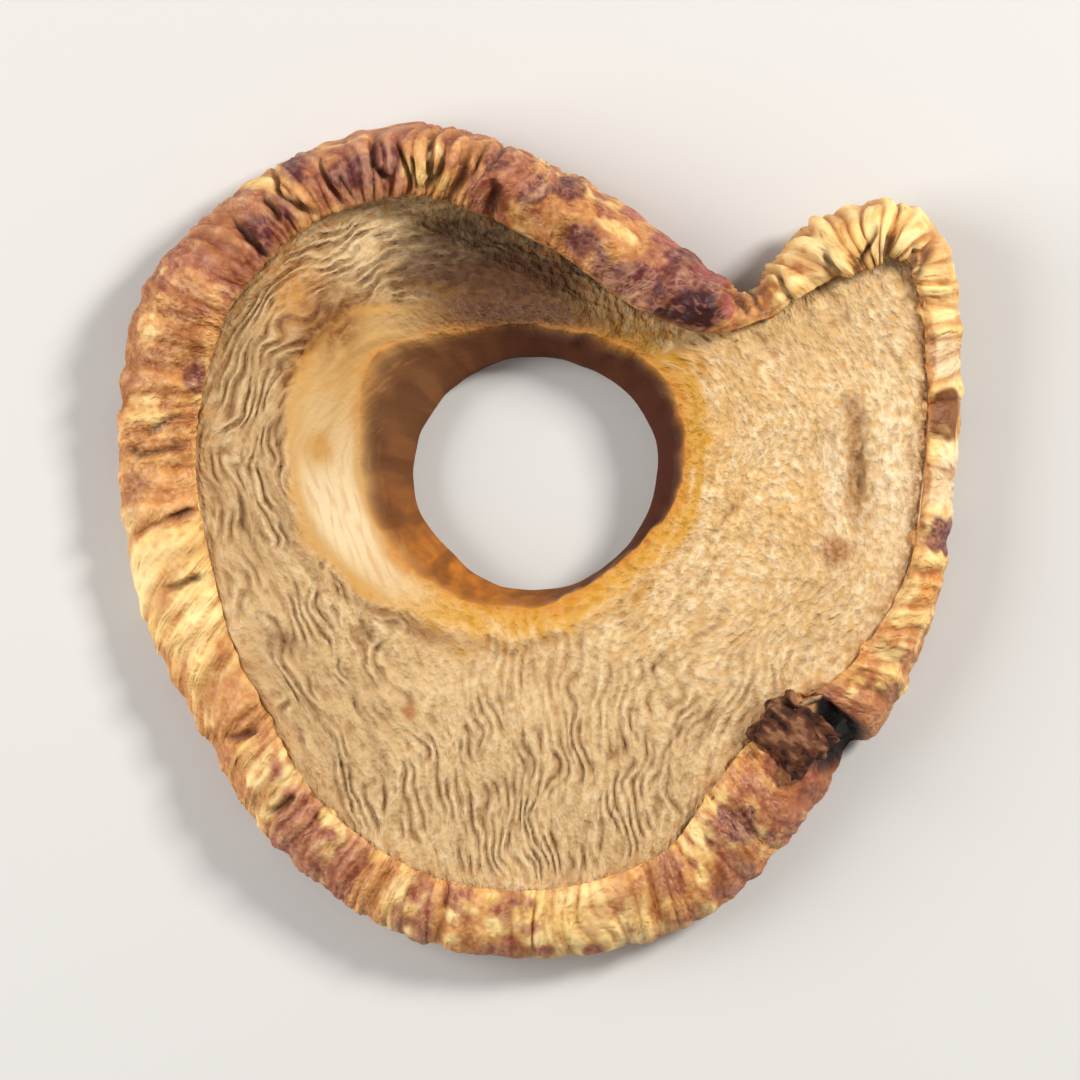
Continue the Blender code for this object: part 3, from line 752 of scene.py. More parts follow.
def flesh_piece(shift):
    """The slice itself: its wrinkled shown face, core zone, bore and back, closed under the peel."""
    loft = Loft(FLESH_ROUND)
    looks = loft.looks

    # Rows of points: under the peel, over the face and the core zone, down the bore and along the back
    hidden_places = np.linspace(0.5, 6, HIDDEN_ROWS)
    hidden = open_curve(loft.band, hidden_places)
    rooms = [peel_room(1 - t / 6, looks["depth"]) + HIDDEN_GAP for t in hidden_places]
    hidden += open_curve([loft.band[-1], *loft.under_edge], [place for place, _ in EDGE_ROWS])
    rooms += [np.full(FLESH_ROUND, depth) for _, depth in EDGE_ROWS]
    for k, (row_x, row_y, _) in enumerate(row.T for row in hidden):
        cut = cut_lines(row_x, row_y, PIT)[0]
        rooms[k] = rooms[k] + cut + SCAB_SINK * hill(row_x, row_y, SCAB_ROOM)
    face = rows_between(loft.seam, loft.crest_line, FACE_ROWS)
    zone = rows_between(loft.crest_line, loft.lip, ZONE_ROWS, ZONE_EASE)
    bore = open_curve(loft.bore, 3 * np.linspace(0, 1, BORE_ROWS, endpoint=False) ** BORE_EASE)
    back = open_curve(loft.back, 3 * np.linspace(0, 1, BACK_ROWS))
    grid = np.stack([*hidden, *face, *zone, *bore, *back])
    normals = surface_normals(grid)

    # Which rows belong to what: each is a column of numbers, one for each row
    kinds = np.repeat(np.arange(5), [len(hidden), len(face), len(zone), len(bore), len(back)])[:, None]
    is_shown, is_bore, is_back = (kinds == 1) | (kinds == 2), kinds == 3, kinds == 4
    past_lip = np.cumsum(is_bore, axis=0) / BORE_ROWS * is_bore
    is_shown = is_shown | (is_bore & (past_lip < LIP_BLEND))

    def on_plan(reach, seed):
        return noise_at(y, x, PLAN_FIELD, (reach, reach), seed)

    def on_fibres(across_reach, along_reach, seed):
        return noise_at(*laid, FIBRE_FIELD, (across_reach, along_reach), seed)

    def round_hole(across, across_reach, along_reach, seed):
        return noise_at(across, angle * HOLE_RADIUS, HOLE_FIELD, (across_reach, along_reach), seed)

    # Places on the core zone, along the fibres and beside the border, and noise there
    x, y, z = grid.transpose(2, 0, 1)
    past, zone_width, crescent = past_zone(x, y)
    angle = hole_angle(x, y)
    uneven = on_plan(1.0, 30)
    past = past + 0.22 * uneven
    from_lip = past + zone_width
    in_zone = eased(0.2 - past / 0.9)
    outside = 1 - in_zone
    crescent_share = eased((crescent - 0.12) / 0.45)
    across, along, from_seam = fibre_coordinates(x, y)
    laid = across + 0.25 * on_plan(1.6, 31), along
    off_seam = 1 - bell(from_seam / 0.5)
    to_border = np.linalg.norm(grid[:, :, :2] - loft.border[None], axis=2)
    furrow = on_fibres(0.5, 2.6, 33)
    fibre = on_fibres(0.16, 0.8, 34)
    crumple = on_fibres(0.2, 0.34, 35)
    patch = on_plan(1.7, 36)
    ridges, crumples = puffed(on_fibres(0.26, 1.3, 32)), puffed(crumple)
    streaks = round_hole(past, 0.22, 2.5, 41)
    spokes = round_hole(past, 2.0, 0.3, 42)
    mottle = round_hole(z, 0.45, 0.5, 43)

    # Where the flesh is strongly wrinkled or furrowed, and its pleats, counted across the fibres
    strong = np.maximum(eased((2 - x) / 20), eased((-5 - y) / 12))
    furrowed = 0.5 + 0.6 * strong + 0.6 * hill(x, y, LOW_LEFT)
    pleats = laid[0] / PLEAT_SPACING + 0.55 * on_fibres(1.3, 1.2, 37)
    pleats = pleats + 0.22 * on_fibres(0.45, 0.5, 39)
    pleated = np.clip(0.5 + 0.65 * on_fibres(0.4, 0.8, 38), 0, 1) * (0.2 + 0.8 * strong)
    pleated = pleated * eased((to_border - 0.3) / 1.2)
    creases = (0.5 + 0.5 * np.cos(2 * math.pi * pleats)) ** 2 * pleated
    # The dark line along the crest's foot: a shallow crease, brown with painted shade in it
    outlined = np.maximum(swell(angle, 236, 58), 0.9 * swell(angle, 158, 34))
    contour = bell((past - 0.45) / 0.55) * outlined * np.clip(0.7 + 0.3 * patch, 0, 1)
    deep, fold = cut_lines(x + 0.15 * fibre, y + 0.15 * uneven, FOLDS)
    pit, pit_dark = cut_lines(x, y, PIT)

    # Relief along the normal, in millimetres
    broken = np.clip(0.8 + 0.35 * patch, 0.3, 1.3)
    relief = WRINKLE_DEPTH * broken * (ridges - 0.6) - PLEAT_DEPTH * creases
    relief += FURROW_DEPTH * furrowed * (puffed(furrow, 1.4) - 0.45 + 0.3 * furrow)
    relief += CRUMPLE_DEPTH * (1 - 0.65 * strong) * (crumples - 0.6)
    relief = relief * outside * off_seam
    relief = relief - deep * np.clip(0.7 + 0.3 * fibre, 0, 1.2) - CONTOUR_DEPTH * contour
    relief += STREAK_DEPTH * (streaks * crescent_share + spokes * (1 - crescent_share)) * in_zone
    relief = relief - SCAB_SINK * hill(x, y, SCAB_ROOM) - GROOVE_EXTRA_DEPTH * hill(x, y, GROOVE_STAIN_AND_SHADE)
    flush = even_edge(x, y)
    step = loft.band[-1][:, 2] - flesh_top(*loft.border.T) - EDGE_SHOWS
    relief += (step + 0.06 * uneven) * bell(to_border / 0.9) * flush
    relief -= pit
    relief = np.where(is_bore, BORE_UNEVEN * mottle * eased((z - 2.2) / 2.5), relief)
    relief[:len(rooms)] = -np.stack(rooms)
    grid = grid + normals * relief[:, :, None]

    # The uneven edge of the hole at the back
    behind = (is_bore | is_back) * eased((4.8 - z) / 2.5)
    past_reach = np.hypot(x - BACK_HOLE[0], y - BACK_HOLE[1]) - RAGGED_REACH
    behind = behind * bell(np.maximum(past_reach, 0) / 1.2)
    ragged = round_hole(z, 2.0, 3.6, 44) + 0.3 * round_hole(z, 0.8, 0.9, 45)
    grid[:, :, :2] += BACK_RAGGED * (ragged * behind)[:, :, None] * loft.spoke

    # Zones of colour on the shown side, from 0 to 1, among them painted shade and painted highlight
    marks = {
        label: sum(strength * hill(x, y, shape) for strength, *shape in hills)
        for label, hills in FLESH_MARKS.items()
    }
    zones = marks | {
        # Painted shade in the wrinkles' valleys
        "valley_shade": np.maximum(0.6 * (1 - ridges) ** 2, (1 - crumples) * (0.65 - 0.5 * strong)) * outside,
        "strong": strong * outside,
        "pleated": pleated * outside * off_seam,
        # Painted shade above the top of the hole, where the pocket's shade reaches the lip
        "above": 1.15 * eased((from_lip + 0.2) / 0.8) * eased((4.0 - past) / 2.0)
        * swell(angle, *HOLE_TOP),
        "amber": eased((1.6 - past + 0.6 * fibre) / 3.2) * (1 - 0.9 * crescent_share),
        # Painted shade on the core zone at the top of the hole
        "rim": swell(angle, 98, 42) * in_zone,
        "crescent": eased(-past / 0.7) * crescent_share,
        "crest": bell((past + 0.6 + 0.3 * uneven) / 0.6) * crescent_share,
        "white": eased((-past - 1.0 + 0.3 * uneven) / 1.2) * eased((from_lip - 0.3) / 0.6)
        * swell(angle, 196, 28) * (1 - np.clip(1.2 * hill(x, y, GOLD_SPOT), 0, 1)),
        "lip": bell(from_lip / 0.5) * (1 - 0.8 * swell(angle, 180, 24) - 0.9 * swell(angle, *HOLE_TOP)),
        "contour": contour,
        # Tan of the left flesh, with painted shade where it slopes away from the key light
        "slope_tan_and_shade": eased((-10 - x) / 13) * outside,
        "dull": (eased((2 - y) / 20) + marks["dull"]) * outside,
        # Painted shade under the top of the peel, with some browning
        "pocket_shade": eased(marks["pocket_shade"] + 0.12 * fibre + 0.1 * patch - 0.4)
        * eased((x + 13.6 + 0.3 * fibre) / 1.5),
        "blotch": marks["blotch"] * np.clip(0.8 + 0.3 * crumple + 0.2 * patch, 0, 1),
        "stain": bell(to_border / 1.3) * np.clip(looks["orange"] + looks["brown"], 0, 1),
        # Painted shade on the flesh along the seam at the right
        "seam_shade": bell(to_border / (0.9 + 0.25 * uneven)) * right_seam_shade(x, y),
        "spot": marks["spot"] * np.clip(0.9 + 0.3 * crumple, 0, 1),
        # Painted shade in the single folds
        "fold": fold * np.clip(0.6 + 0.3 * fibre, 0, 1),
    }
    zones = {label: np.clip(values, 0, 1) * is_shown for label, values in zones.items()}

    # Zones of colour elsewhere, and what the material's noise needs
    in_bore = eased(past_lip / LIP_BLEND) * is_bore
    zones |= {
        # Painted shade on the flesh under the peel's edge, less where the two meet without a step
        "hidden": (kinds == 0) * (1 - flush),
        "crumple": np.clip(0.5 + 0.25 * crumple, 0, 1),
        "off_seam": off_seam,
        # Near-black painted shade in the crack beside the scab
        "pit": eased(3 * pit_dark),
        "pleats": pleats,
        "laid": np.stack([*laid, np.zeros(x.shape)], axis=2),
        "mottle": np.clip(0.5 + 0.3 * mottle, 0, 1),
        "bore": in_bore * np.ones(x.shape),
        "bore_amber": in_bore * swell(angle, *BORE_AMBER),
        # Painted shade on the bore's right and top walls, which face away from the key light
        "bore_shade": in_bore * np.maximum(swell(angle, 0, 62), 0.7 * swell(angle, 80, 40)),
        "bore_tan": in_bore * swell(angle, 145, 36),
        "back": is_back * np.ones(x.shape),
    }
    return smooth_piece("flesh", closed_mesh("flesh", grid, shift), zones, flesh_material())


def peel_piece(shift):
    """The puckered peel: a closed band from its cut edge over the rim to the foot, and back inside."""
    loft = Loft(PEEL_ROUND)
    looks = loft.looks
    skin = np.stack(open_curve(loft.band[::-1], np.linspace(0, 6, PEEL_ROWS)))
    normals = -surface_normals(skin, open_rows=True)
    x, y = skin[:, :, 0], skin[:, :, 1]
    steps = np.linalg.norm(np.diff(skin, axis=0), axis=2)
    across = np.concatenate([np.zeros((1, PEEL_ROUND)), np.cumsum(steps, axis=0)])
    down = across / across[-1]  # 0 at the cut edge, 1 at the foot
    at_edge = bell(down / 0.05)
    cell = loft.length / PEEL_ROUND
    leaning = np.arange(PEEL_ROUND) - looks["lean"] * across / cell

    def sheet(across_reach, along_reach, seed, warp=0):
        """Noise over the peel laid flat, softer by so many millimetres across the band and along it."""
        field = (SHEET_ROWS, PEEL_ROUND), cell, cell
        return noise_at(across, leaning * cell + warp, field, (across_reach, along_reach), seed)

    # Ridges with creases between them: broad and regular ones, finer ones, and small facets where it crumples
    warp = WARP * sheet(2.2, 2.2, 50)
    main = puffed(sheet(4.0, 0.34, 51, warp))
    fine = puffed(sheet(1.8, 0.24, 52, warp))
    facets = 0.55 * puffed(sheet(0.7, 0.55, 53, warp)) + 0.45 * puffed(sheet(0.30, 0.26, 54))
    network = np.exp(-3.5 * np.hypot(sheet(0.55, 0.30, 60, warp), 0.1))
    crumpled = looks["crumpled"]
    broad = eased((0.45 - looks["orange"]) / 0.3)
    main = (1 - broad) * main + broad * puffed(sheet(3.2, 0.42, 62, 0.6 * warp), 1.7, 0.5)
    creased = (1 - crumpled) * (0.65 * main + 0.35 * fine) + crumpled * (0.25 * main + 0.75 * facets)
    creased = (1 - 0.6 * broad) * creased + 0.6 * broad * main
    uneven = np.clip(0.85 + 0.35 * sheet(3.0, 2.2, 55), 0.3, 1.5)
    wobble = 0.16 * sheet(0.8, 0.8, 56)
    deep, fold = cut_lines(x + wobble, y + wobble, CREASES)
    pit, pit_dark = cut_lines(x + wobble, y + wobble, PIT)

    # Relief along the normal, in millimetres. The cut edge takes part in it as a whole.
    relief = 2.2 * looks["depth"] * uneven * (creased - 0.6) * (1 - 0.5 * down) - deep
    sunk = pit + SCAB_SINK * hill(x, y, SCAB_ROOM)
    edge_calm = 0.4 + 0.6 * eased(down / 0.12)
    relief = (relief + NETWORK_HEIGHT * network) * edge_calm + PEEL_PROUD - sunk
    relief = relief - EDGE_TAPER * even_edge(x, y) * at_edge
    room = peel_room(down, looks["depth"]) + sunk
    relief = np.maximum(relief, THINNEST - room)
    outer = skin + normals * relief[:, :, None]
    inner_rows = np.linspace(PEEL_ROWS - 1, 0, PEEL_INNER_ROWS).round().astype(int)
    inner_depth = room - relief * (1 - eased(down / 0.15))
    inner = (skin - normals * inner_depth[:, :, None])[inner_rows]
    grid = np.concatenate([outer, inner])[::-1]

    # Zones of colour, from 0 to 1, among them painted shade in the creases and painted highlight on the
    # ridges' tops
    speckle = sheet(0.45, 0.45, 57)
    stripe = sheet(3.5, 0.8, 58, warp)
    blotch = sheet(1.5, 1.5, 59)
    zones = {
        # Painted shade in the puckers' creases
        "pucker_shade": 1 - 1.3 * creased,
        # Painted shade in the single deep creases
        "fold": fold,
        "crumpled": crumpled * np.ones(x.shape),
        # Painted highlight on the ridges' tops
        "top": eased((creased - 0.65) / 0.2),
        "vein": network,
        "edge": at_edge,
        "glossy": looks["glossy"] * np.ones(x.shape),
        "orange": patchy(looks["orange"], 0.7 * blotch + 0.5 * speckle),
        "red": patchy(looks["red"], 0.75 * stripe + 0.45 * speckle),
        "brown": patchy(looks["brown"], sheet(1.1, 1.3, 61)),
        # Painted shade on the peel's cut edge along the seam at the right
        "seam_shade": eased((0.9 + 0.35 * blotch - across) / 0.4) * right_seam_shade(x, y),
        # Near-black painted shade in the crack beside the scab
        "pit": eased(1.9 * pit_dark - 0.25),
        "pit_rim": eased(2.5 * pit_dark),
    }
    for label, patches in PEEL_PATCHES.items():
        cover = sum(hill(x, y, patch) for patch in patches)
        zones[label] = eased((cover * (1.5 + 0.5 * speckle + 0.4 * stripe) - 0.4) / 0.5)
    zones = {label: np.clip(values, 0, 1) for label, values in zones.items()}
    turn = (leaning + warp / cell) / PEEL_ROUND * 2 * math.pi
    radius = loft.length / (2 * math.pi)
    zones["laid"] = np.stack([radius * np.cos(turn), radius * np.sin(turn), across], axis=2)
    zones = {label: np.concatenate([values, values[inner_rows]])[::-1] for label, values in zones.items()}
    return smooth_piece("peel", closed_mesh("peel", grid, shift), zones, peel_material())


def scab_piece(shift):
    """The woody scab: the solid's uneven block, with a grain, worn edges and a rough broken side."""
    draw = random.Random(SCAB_SEED)
    block = bmesh.new()
    bmesh.ops.create_cube(block, size=1)
    bmesh.ops.subdivide_edges(block, edges=block.edges[:], cuts=1, use_grid_fill=True)
    for corner in block.verts:
        for axis in range(3):
            corner.co[axis] = corner.co[axis] * SCAB_SIZE[axis] + draw.uniform(-SCAB_UNEVEN, SCAB_UNEVEN)
    bmesh.ops.subdivide_edges(block, edges=block.edges[:], cuts=SCAB_CUTS, use_grid_fill=True)
    bmesh.ops.recalc_face_normals(block, faces=block.faces[:])
    block.normal_update()
    turn = Euler((*SCAB_TILT, SCAB_TURN)).to_matrix()
    centre = Vector((*SCAB, SCAB_LEVEL)) - Vector(shift)
    moved = []
    ridges = []
    for point in block.verts:
        x, y, z = point.co
        ridge = noise.fractal(Vector((x * 0.6, y * 1.3, z)) + Vector((3.1, 0, 0)), 0.8, 2.1, 4)
        facet = abs(noise.noise(point.co * 0.42 + Vector((0, 7.3, 0))))
        spine = max(0, 1 - abs(y - 0.2) / 1.5) * max(0, min(1, (1.2 - x) / 2))
        ridges.append(0.45 + 0.7 * ridge + 0.35 * spine)
        height = 0.2 * ridge + 1.0 * facet + 0.6 * spine * (z > 0) - 0.3
        worn = 0.36 + 0.3 * noise.noise(point.co * 0.8)
        broken = Vector((max(0, x - 1.4), max(0, y - 1.0), 0)) * worn
        moved.append(centre + turn @ (point.co + point.normal * height - broken))
    for point, place in zip(block.verts, moved):
        point.co = place * MM
    mesh = bpy.data.meshes.new("woody_scab")
    block.to_mesh(mesh)
    block.free()
    return smooth_piece("woody_scab", mesh, {"ridge": np.array([ridges])}, scab_material())


def linear(red, green, blue):
    """A colour from 0 to 255 as Blender's linear red, green, blue and alpha."""
    channels = []
    for value in (red / 255, green / 255, blue / 255):
        channels.append(value / 12.92 if value <= 0.04045 else ((value + 0.055) / 1.055) ** 2.4)
    return (*channels, 1.0)


class Shading:
    """The nodes of one material. Sizes are in millimetres, and a tuple is a colour from 0 to 255."""

    def __init__(self, name):
        self.material = bpy.data.materials.new(name)
        self.material.use_nodes = True
        self.nodes = self.material.node_tree.nodes
        self.shader = self.nodes["Principled BSDF"]
        self.where = self.add("TexCoord", "Object", {})

    def put(self, node, inputs):
        """Links each input of a node to an output, or sets it to a constant."""
        for label, value in inputs.items():
            if isinstance(value, bpy.types.NodeSocket):
                self.material.node_tree.links.new(value, node.inputs[label])
            else:
                node.inputs[label].default_value = linear(*value) if isinstance(value, tuple) else value

    def add(self, kind, output, inputs, **settings):
        """An output of a new node."""
        node = self.nodes.new("ShaderNode" + kind)
        for label, value in settings.items():
            setattr(node, label, value)
        self.put(node, inputs)
        return node.outputs[output]

    def zone(self, label, output="Fac"):
        """A vertex attribute's number."""
        return self.add("Attribute", output, {}, attribute_name=label)

    def laid_noise(self, sizes, detail=2):
        """Smooth noise over the surface laid flat, as the attribute laid says, with a size for each way."""
        return self.noise_at(self.zone("laid", "Vector"), [1 / size for size in sizes], detail)

    def noise(self, size, detail=2):
        """Smooth noise from about 0.2 to 0.8, with features of the given size."""
        return self.noise_at(self.where, [1 / (size * MM)] * 3, detail)

    def noise_at(self, where, scale, detail):
        """Smooth noise at a place that is scaled first."""
        place = self.add("Mapping", "Vector", {"Scale": scale, "Vector": where})
        return self.add("TexNoise", "Fac", {"Scale": 1, "Detail": detail, "Roughness": 0.5, "Vector": place})

    def ramp(self, value, low, high, to_low=0, to_high=1):
        """The value moved from low..high to to_low..to_high, smoothly and no further."""
        inputs = {"Value": value, "From Min": low, "From Max": high, "To Min": to_low, "To Max": to_high}
        return self.add("MapRange", "Result", inputs, interpolation_type="SMOOTHSTEP")

    def crossing(self, value, width):
        """Thin lines: 1 where the value passes 0.5, falling to 0 at width from it."""
        return self.times(self.ramp(value, 0.5 - width, 0.5), self.ramp(value, 0.5, 0.5 + width, 1, 0))

    def maths(self, operation, a, b):
        """One Math node, clamped to 0..1."""
        return self.add("Math", 0, {0: a, 1: b}, operation=operation, use_clamp=True)

    def times(self, a, b):
        """Two numbers multiplied."""
        return self.maths("MULTIPLY", a, b)

    def without(self, a):
        """What a number leaves of 1."""
        return self.maths("SUBTRACT", 1, a)

    def mix(self, factor, a, b, blend="MIX"):
        """Colour a turning into b, or into a times b for MULTIPLY, as the factor goes from 0 to 1."""
        return self.add("Mix", 2, {"Factor": factor, 6: a, 7: b}, data_type="RGBA", blend_type=blend)

    def tinted(self, colour, tints):
        """The colour with tints over it: zone, colour, strength, and a socket or a ramp that breaks it up."""
        for label, tint, strength, *broken in tints:
            factor = self.times(self.zone(label), strength)
            if broken:
                factor = self.times(factor, self.ramp(*broken) if broken[1:] else broken[0])
            colour = self.mix(factor, colour, tint)
        return colour

    def with_painted_shade(self, colour, tint, places):
        """Painted shade: the colour times a tint at places, each with its strength."""
        for place, strength in places:
            colour = self.mix(self.times(place, strength), colour, tint, "MULTIPLY")
        return colour

    def finish(self, colour, roughness, bumps, specular, subsurface=0):
        """The whole material. Bumps are heights with their depths, one over another."""
        self.put(self.shader, {
            "Base Color": colour, "Roughness": roughness, "Specular IOR Level": specular,
            "Subsurface Weight": subsurface, "Subsurface Scale": SCATTER,
        })
        under = {}
        for height, depth in bumps:
            inputs = {"Height": height, "Distance": depth * MM} | under
            under = {"Normal": self.add("Bump", "Normal", inputs)}
        self.put(self.shader, under)
        return self.material


def flesh_material():
    """Dried leathery flesh: cream and straw, tan with painted shade where it slopes away, amber and waxy
    round the core.
    """
    s = Shading("dried_flesh")
    grain = s.noise(0.45, 3)
    speck = s.noise(0.9)
    patch = s.noise(4.5)
    off_seam, strong, crescent = s.zone("off_seam"), s.zone("strong"), s.zone("crescent")
    streak = s.mix(off_seam, MID_GREY, s.laid_noise((0.5, 3.4, 1), 1))
    thread = s.mix(strong, s.laid_noise((0.62, 1, 1)), s.laid_noise((0.55, 1.3, 1)))
    thread = s.mix(off_seam, MID_GREY, thread)
    crumb = s.mix(off_seam, MID_GREY, s.laid_noise((0.42, 0.62, 1)))
    smooth = s.maths("MAXIMUM", s.times(crescent, 0.85), s.zone("bore"))
    fine_crease_shade = s.times(s.ramp(thread, 0.34, 0.5, 1, 0), s.ramp(strong, 0, 1, 0.5, 0.8))
    fine_crease_shade = s.times(fine_crease_shade, s.without(smooth))
    from_crease = s.maths("PINGPONG", s.zone("pleats"), 0.5)
    lines = s.times(s.ramp(from_crease, 0, 0.18, 1, 0), s.zone("pleated"))
    lines = s.times(lines, s.ramp(grain, 0.3, 0.6, 0.3, 1))
    between = s.times(s.ramp(from_crease, 0, 0.42, 1, 0), s.zone("pleated"))
    uneven = s.ramp(patch, 0.3, 0.7, 0.65, 1)
    colour = s.mix(s.ramp(crumb, 0.35, 0.62), (222, 185, 128), (242, 218, 175))
    colour = s.mix(s.ramp(speck, 0.56, 0.7, 0, 0.5), colour, (228, 180, 92))
    colour = s.mix(s.ramp(patch, 0.46, 0.66, 0, 0.45), colour, (222, 176, 104))
    colour = s.mix(s.ramp(s.zone("crumple"), 0.3, 0.55, 0.3, 0), colour, (200, 152, 86))
    colour = s.tinted(colour, (
        ("dull", (202, 170, 125), 0.8, uneven),
        # tan and painted shade on the left slope
        ("slope_tan_and_shade", (190, 156, 110), 0.9, uneven),
        # painted shade of the pocket
        ("pocket_shade", (84, 60, 42), 0.97, thread, 0.35, 0.65, 1, 0.85),
        ("pale", (226, 202, 160), 0.8, thread, 0.38, 0.6, 1, 0.6),
        # painted highlights beside the groove
        ("light", (246, 230, 198), 0.7, crumb, 0.3, 0.55, 0.4, 1),
        ("amber", (198, 140, 26), 0.95, thread, 0.38, 0.6, 1, 0.85),
        # painted shade at the top of the hole
        ("rim", (116, 72, 36), 0.92),
        # painted shade above the hole
        ("above", (84, 53, 32), 0.97, thread, 0.35, 0.65, 1, 0.85),
        ("crescent", (198, 160, 104), 1),
        ("golden", (190, 138, 64), 0.9, streak, 0.3, 0.7, 1, 0.6),
        ("white", (226, 202, 162), 0.95, streak, 0.34, 0.56, 0.8, 1),
        ("crest", (200, 146, 70), 0.9, patch, 0.35, 0.6, 0.5, 1),
        ("lip", (198, 126, 48), 0.9, speck, 0.35, 0.6, 0.4, 1),
        ("gilded", (190, 134, 68), 0.8, speck, 0.3, 0.6, 0.6, 1),
        ("blotch", (120, 68, 26), 0.92, grain, 0.3, 0.55, 0.6, 1),
        ("stain", (190, 128, 64), 0.6, speck, 0.4, 0.65),
        # painted shade along the right seam
        ("seam_shade", (136, 80, 34), 0.95, grain, 0.35, 0.6, 0.3, 1),
        # brown in the groove, partly painted shade
        ("groove", (158, 106, 54), 0.8, crumb, 0.3, 0.6, 1, 0.8),
        ("spot", (164, 102, 54), 0.95, grain, 0.3, 0.6, 1, 0.7),
        # brown line with painted shade at the crest's foot
        ("contour", (132, 82, 42), 0.7),
        ("bore", (104, 60, 28), 1),
        ("bore_tan", (120, 78, 42), 0.8),
        ("bore_amber", (190, 114, 34), 0.95, speck, 0.35, 0.65, 1, 0.6),
        # painted shade on the bore's right and top
        ("bore_shade", (68, 22, 8), 0.95),
        ("back", (214, 176, 124), 0.6, uneven),
        # painted shade under the peel's edge
        ("hidden", (128, 80, 42), 1),
    ))
    # Painted highlight on the pleats' ridges, kept off the pocket's painted shade and the blotch
    ridge_highlight = s.times(s.ramp(from_crease, 0.22, 0.5, 0, 0.35), s.zone("pleated"))
    for darker_place in ("pocket_shade", "blotch"):
        ridge_highlight = s.maths("SUBTRACT", ridge_highlight, s.zone(darker_place))
    colour = s.mix(ridge_highlight, colour, (232, 208, 168))
    colour = s.mix(s.times(crescent, s.ramp(streak, 0.32, 0.5, 0.3, 0)), colour, (190, 140, 78))
    bored = s.times(s.zone("bore"), s.ramp(s.zone("mottle"), 0.2, 0.8, 0.45, 0))
    colour = s.mix(bored, colour, (66, 32, 16))
    # Painted shade in the wrinkles' valleys, the folds, the creases and between the pleats
    colour = s.with_painted_shade(colour, (172, 136, 98), (
        (s.zone("valley_shade"), 0.5), (s.zone("fold"), 0.85), (fine_crease_shade, 0.45), (lines, 0.5), (between, 0.5),
    ))
    # painted shade in the crack
    colour = s.mix(s.zone("pit"), colour, (24, 15, 12))
    bumps = (
        (s.noise(0.3, 3), 0.05),
        (s.mix(smooth, crumb, MID_GREY), 0.26),
        (s.mix(smooth, thread, MID_GREY), 0.34),
        (s.mix(crescent, MID_GREY, streak), 0.06),
        (s.without(between), 0.16),
    )
    return s.finish(colour, s.ramp(s.zone("amber"), 0.1, 0.9, 0.8, 0.5), bumps, 0.25, 0.08)


def peel_material():
    """Dried peel: yellow, with orange, purple-red, brown and maroon stretches, and creases darkened with
    painted shade.
    """
    s = Shading("dried_peel")
    grain = s.noise(0.45, 3)
    patch = s.noise(2.6)
    crumpled = s.zone("crumpled")
    pleat = s.mix(crumpled, s.laid_noise((0.7, 0.7, 2.4), 1), s.laid_noise((0.65, 0.65, 0.8), 1.5))
    crinkle = s.mix(crumpled, s.laid_noise((0.8, 0.8, 3.6), 1), s.laid_noise((0.8, 0.8, 0.9), 1.5))
    lines = s.times(s.crossing(crinkle, 0.09), s.ramp(s.noise(1.3, 1), 0.42, 0.6))
    some = s.ramp(grain, 0.3, 0.6, 0.65, 1)
    reddish = s.maths("MAXIMUM", s.zone("purple"), s.zone("red"))
    colour = s.mix(s.ramp(patch, 0.35, 0.65), (254, 226, 158), (248, 210, 130))
    colour = s.mix(s.ramp(grain, 0.5, 0.7, 0, 0.4), colour, (255, 236, 184))
    colour = s.tinted(colour, (
        ("orange", (208, 142, 80), 0.9, some),
        ("amber", (222, 148, 58), 0.9, some),
        ("cream", (246, 226, 184), 0.9),
        ("red", (154, 80, 62), 0.9, some),
        ("brown", (168, 108, 60), 0.85, some),
        ("purple", (104, 40, 50), 1, grain, 0.3, 0.6, 0.8, 1),
        # painted highlight on the ridges' tops
        ("top", (240, 188, 132), 0.25, some),
        ("vein", (238, 188, 142), 0.4, reddish),
        ("pink", (164, 78, 86), 0.8, some),
        ("russet", (190, 120, 76), 0.8, some),
        # brown, and painted shade
        ("dark", (128, 70, 26), 0.95),
        # painted shade along the right seam
        ("seam_shade", (172, 102, 42), 0.9, some),
        ("maroon", (66, 22, 34), 0.95),
        ("edge", (232, 184, 108), 0.5),
        ("pit_rim", (112, 54, 34), 0.9),
    ))
    colour = s.mix(s.times(s.times(lines, reddish), 0.45), colour, (224, 166, 140))
    # Painted shade in the fine creases, in the puckers' creases and along the thin lines
    fine_crease_shade = s.ramp(pleat, 0.34, 0.5, 1, 0)
    colour = s.with_painted_shade(colour, (190, 138, 92), ((s.zone("pucker_shade"), 0.9), (fine_crease_shade, 0.3), (lines, 0.2)))
    # Dark painted shade in the single deep creases
    colour = s.mix(s.times(s.zone("fold"), 0.8), colour, (70, 30, 20))
    # painted shade in the crack
    colour = s.mix(s.zone("pit"), colour, (24, 15, 12))
    bumps = (s.noise(0.3), 0.05), (pleat, 0.4), (s.without(lines), 0.06)
    return s.finish(colour, s.ramp(s.zone("glossy"), 0.2, 0.9, 0.56, 0.34), bumps, 0.35, 0.06)


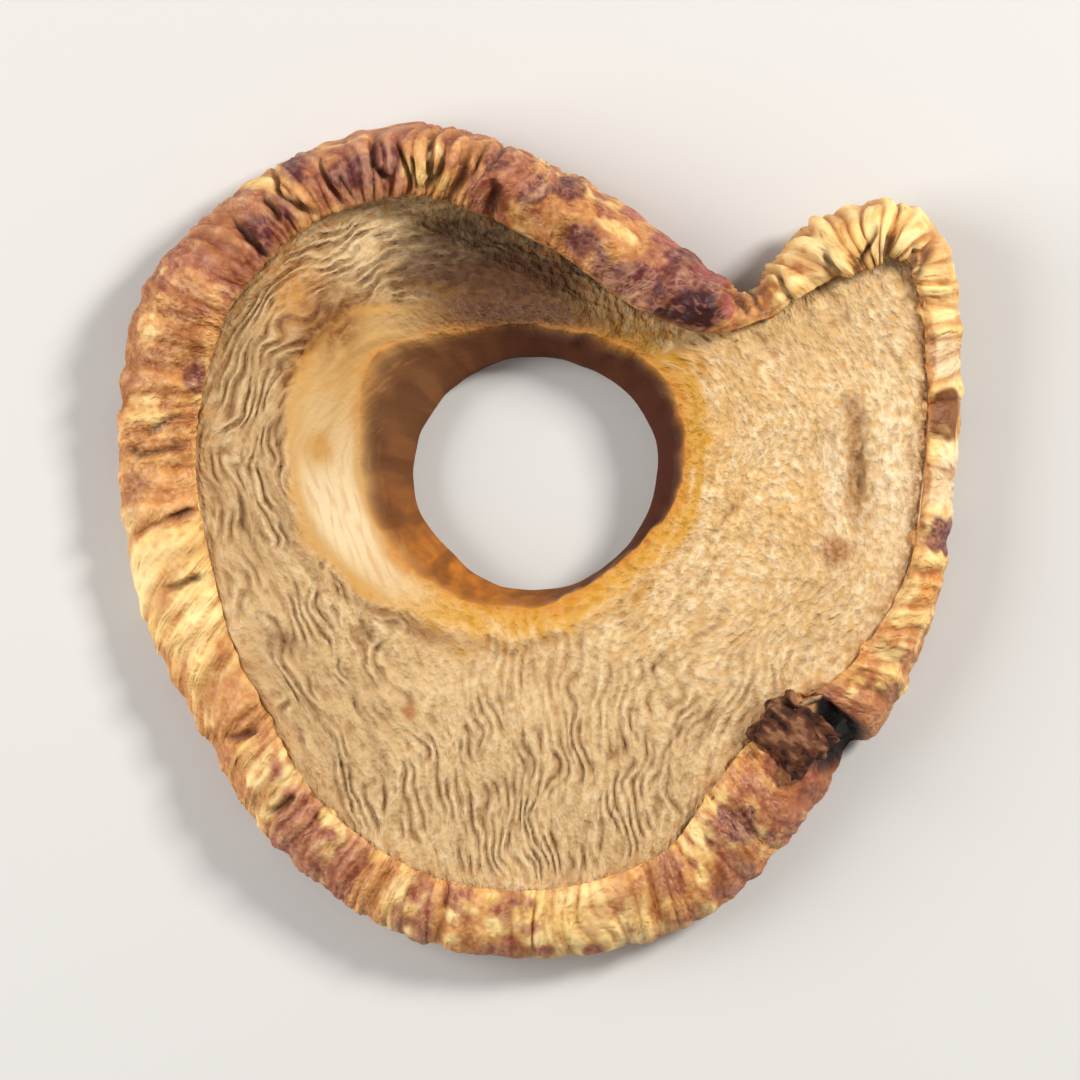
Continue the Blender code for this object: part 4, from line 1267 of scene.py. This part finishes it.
def scab_material():
    """Dark dry woody tissue, with painted highlight on its ridges and painted shade where it is low."""
    s = Shading("woody_tissue")
    fleck = s.noise(0.5, 3)
    colour = s.mix(s.ramp(s.noise(2.2), 0.35, 0.65), (64, 35, 24), (94, 53, 33))
    colour = s.mix(s.ramp(fleck, 0.5, 0.7, 0, 0.45), colour, (48, 27, 22))
    # Painted highlight on the raised ridges, and painted shade on the low parts
    colour = s.mix(s.ramp(s.zone("ridge"), 0.5, 0.95, 0, 0.8), colour, (152, 106, 74))
    colour = s.mix(s.ramp(s.zone("ridge"), 0.1, 0.4, 0.85, 0), colour, (30, 17, 16))
    return s.finish(colour, 0.75, ((s.noise(0.35, 3), 0.1),), 0.2)


def floor_and_light():
    """A plain pale floor, a key light from the upper right, a wide fill from the left, and soft sky."""
    bpy.ops.mesh.primitive_plane_add(size=3)
    floor = bpy.context.object
    floor.name = "floor"
    s = Shading("pale_floor")
    s.put(s.shader, {"Base Color": [0.62, 0.61, 0.60, 1], "Roughness": 0.9})
    floor.data.materials.append(s.material)
    for name, place, size, power, colour in LIGHTS:
        lamp = bpy.data.lights.new(name, "AREA")
        lamp.size = size
        lamp.energy = power
        lamp.color = colour
        light = in_scene(name, lamp)
        light.location = place
        light.rotation_euler = (-Vector(place)).to_track_quat("-Z", "Y").to_euler()
    world = bpy.data.worlds.new("soft_sky")
    world.use_nodes = True
    background = world.node_tree.nodes["Background"]
    background.inputs["Color"].default_value = (1.0, 0.98, 0.95, 1)
    background.inputs["Strength"].default_value = SKY
    bpy.context.scene.world = world


def camera():
    """Straight above the ring, with its top edge up."""
    view = in_scene("camera", bpy.data.cameras.new("camera"))
    view.location = (0, 0, CAMERA_HEIGHT)
    view.data.sensor_width = SENSOR
    view.data.lens = SENSOR * (CAMERA_HEIGHT - VIEW_LEVEL) / VIEW_WIDTH
    view.data.clip_start = 0.01
    bpy.context.scene.camera = view


def main():
    """Builds the three pieces where the solid is, then the floor, the light and the camera."""
    solid = Loft(SOLID_ROUND)
    rows = np.concatenate([*solid.band, *solid.bore, *solid.back])
    lowest, highest = rows.min(0), rows.max(0)
    box_low, box_high = (np.array(corner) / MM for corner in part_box(NODE))
    shift = (lowest + highest) / 2 - (box_low + box_high) / 2
    shift[2] = lowest[2] - box_low[2]
    for piece, slot in ((flesh_piece(shift), "flesh"), (peel_piece(shift), "peel"),
                        (scab_piece(shift), "woody_tissue")):
        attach(piece, "root")
        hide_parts(NODE)
    floor_and_light()
    camera()
    bpy.context.scene.view_settings.view_transform = "Standard"
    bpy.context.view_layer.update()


main()
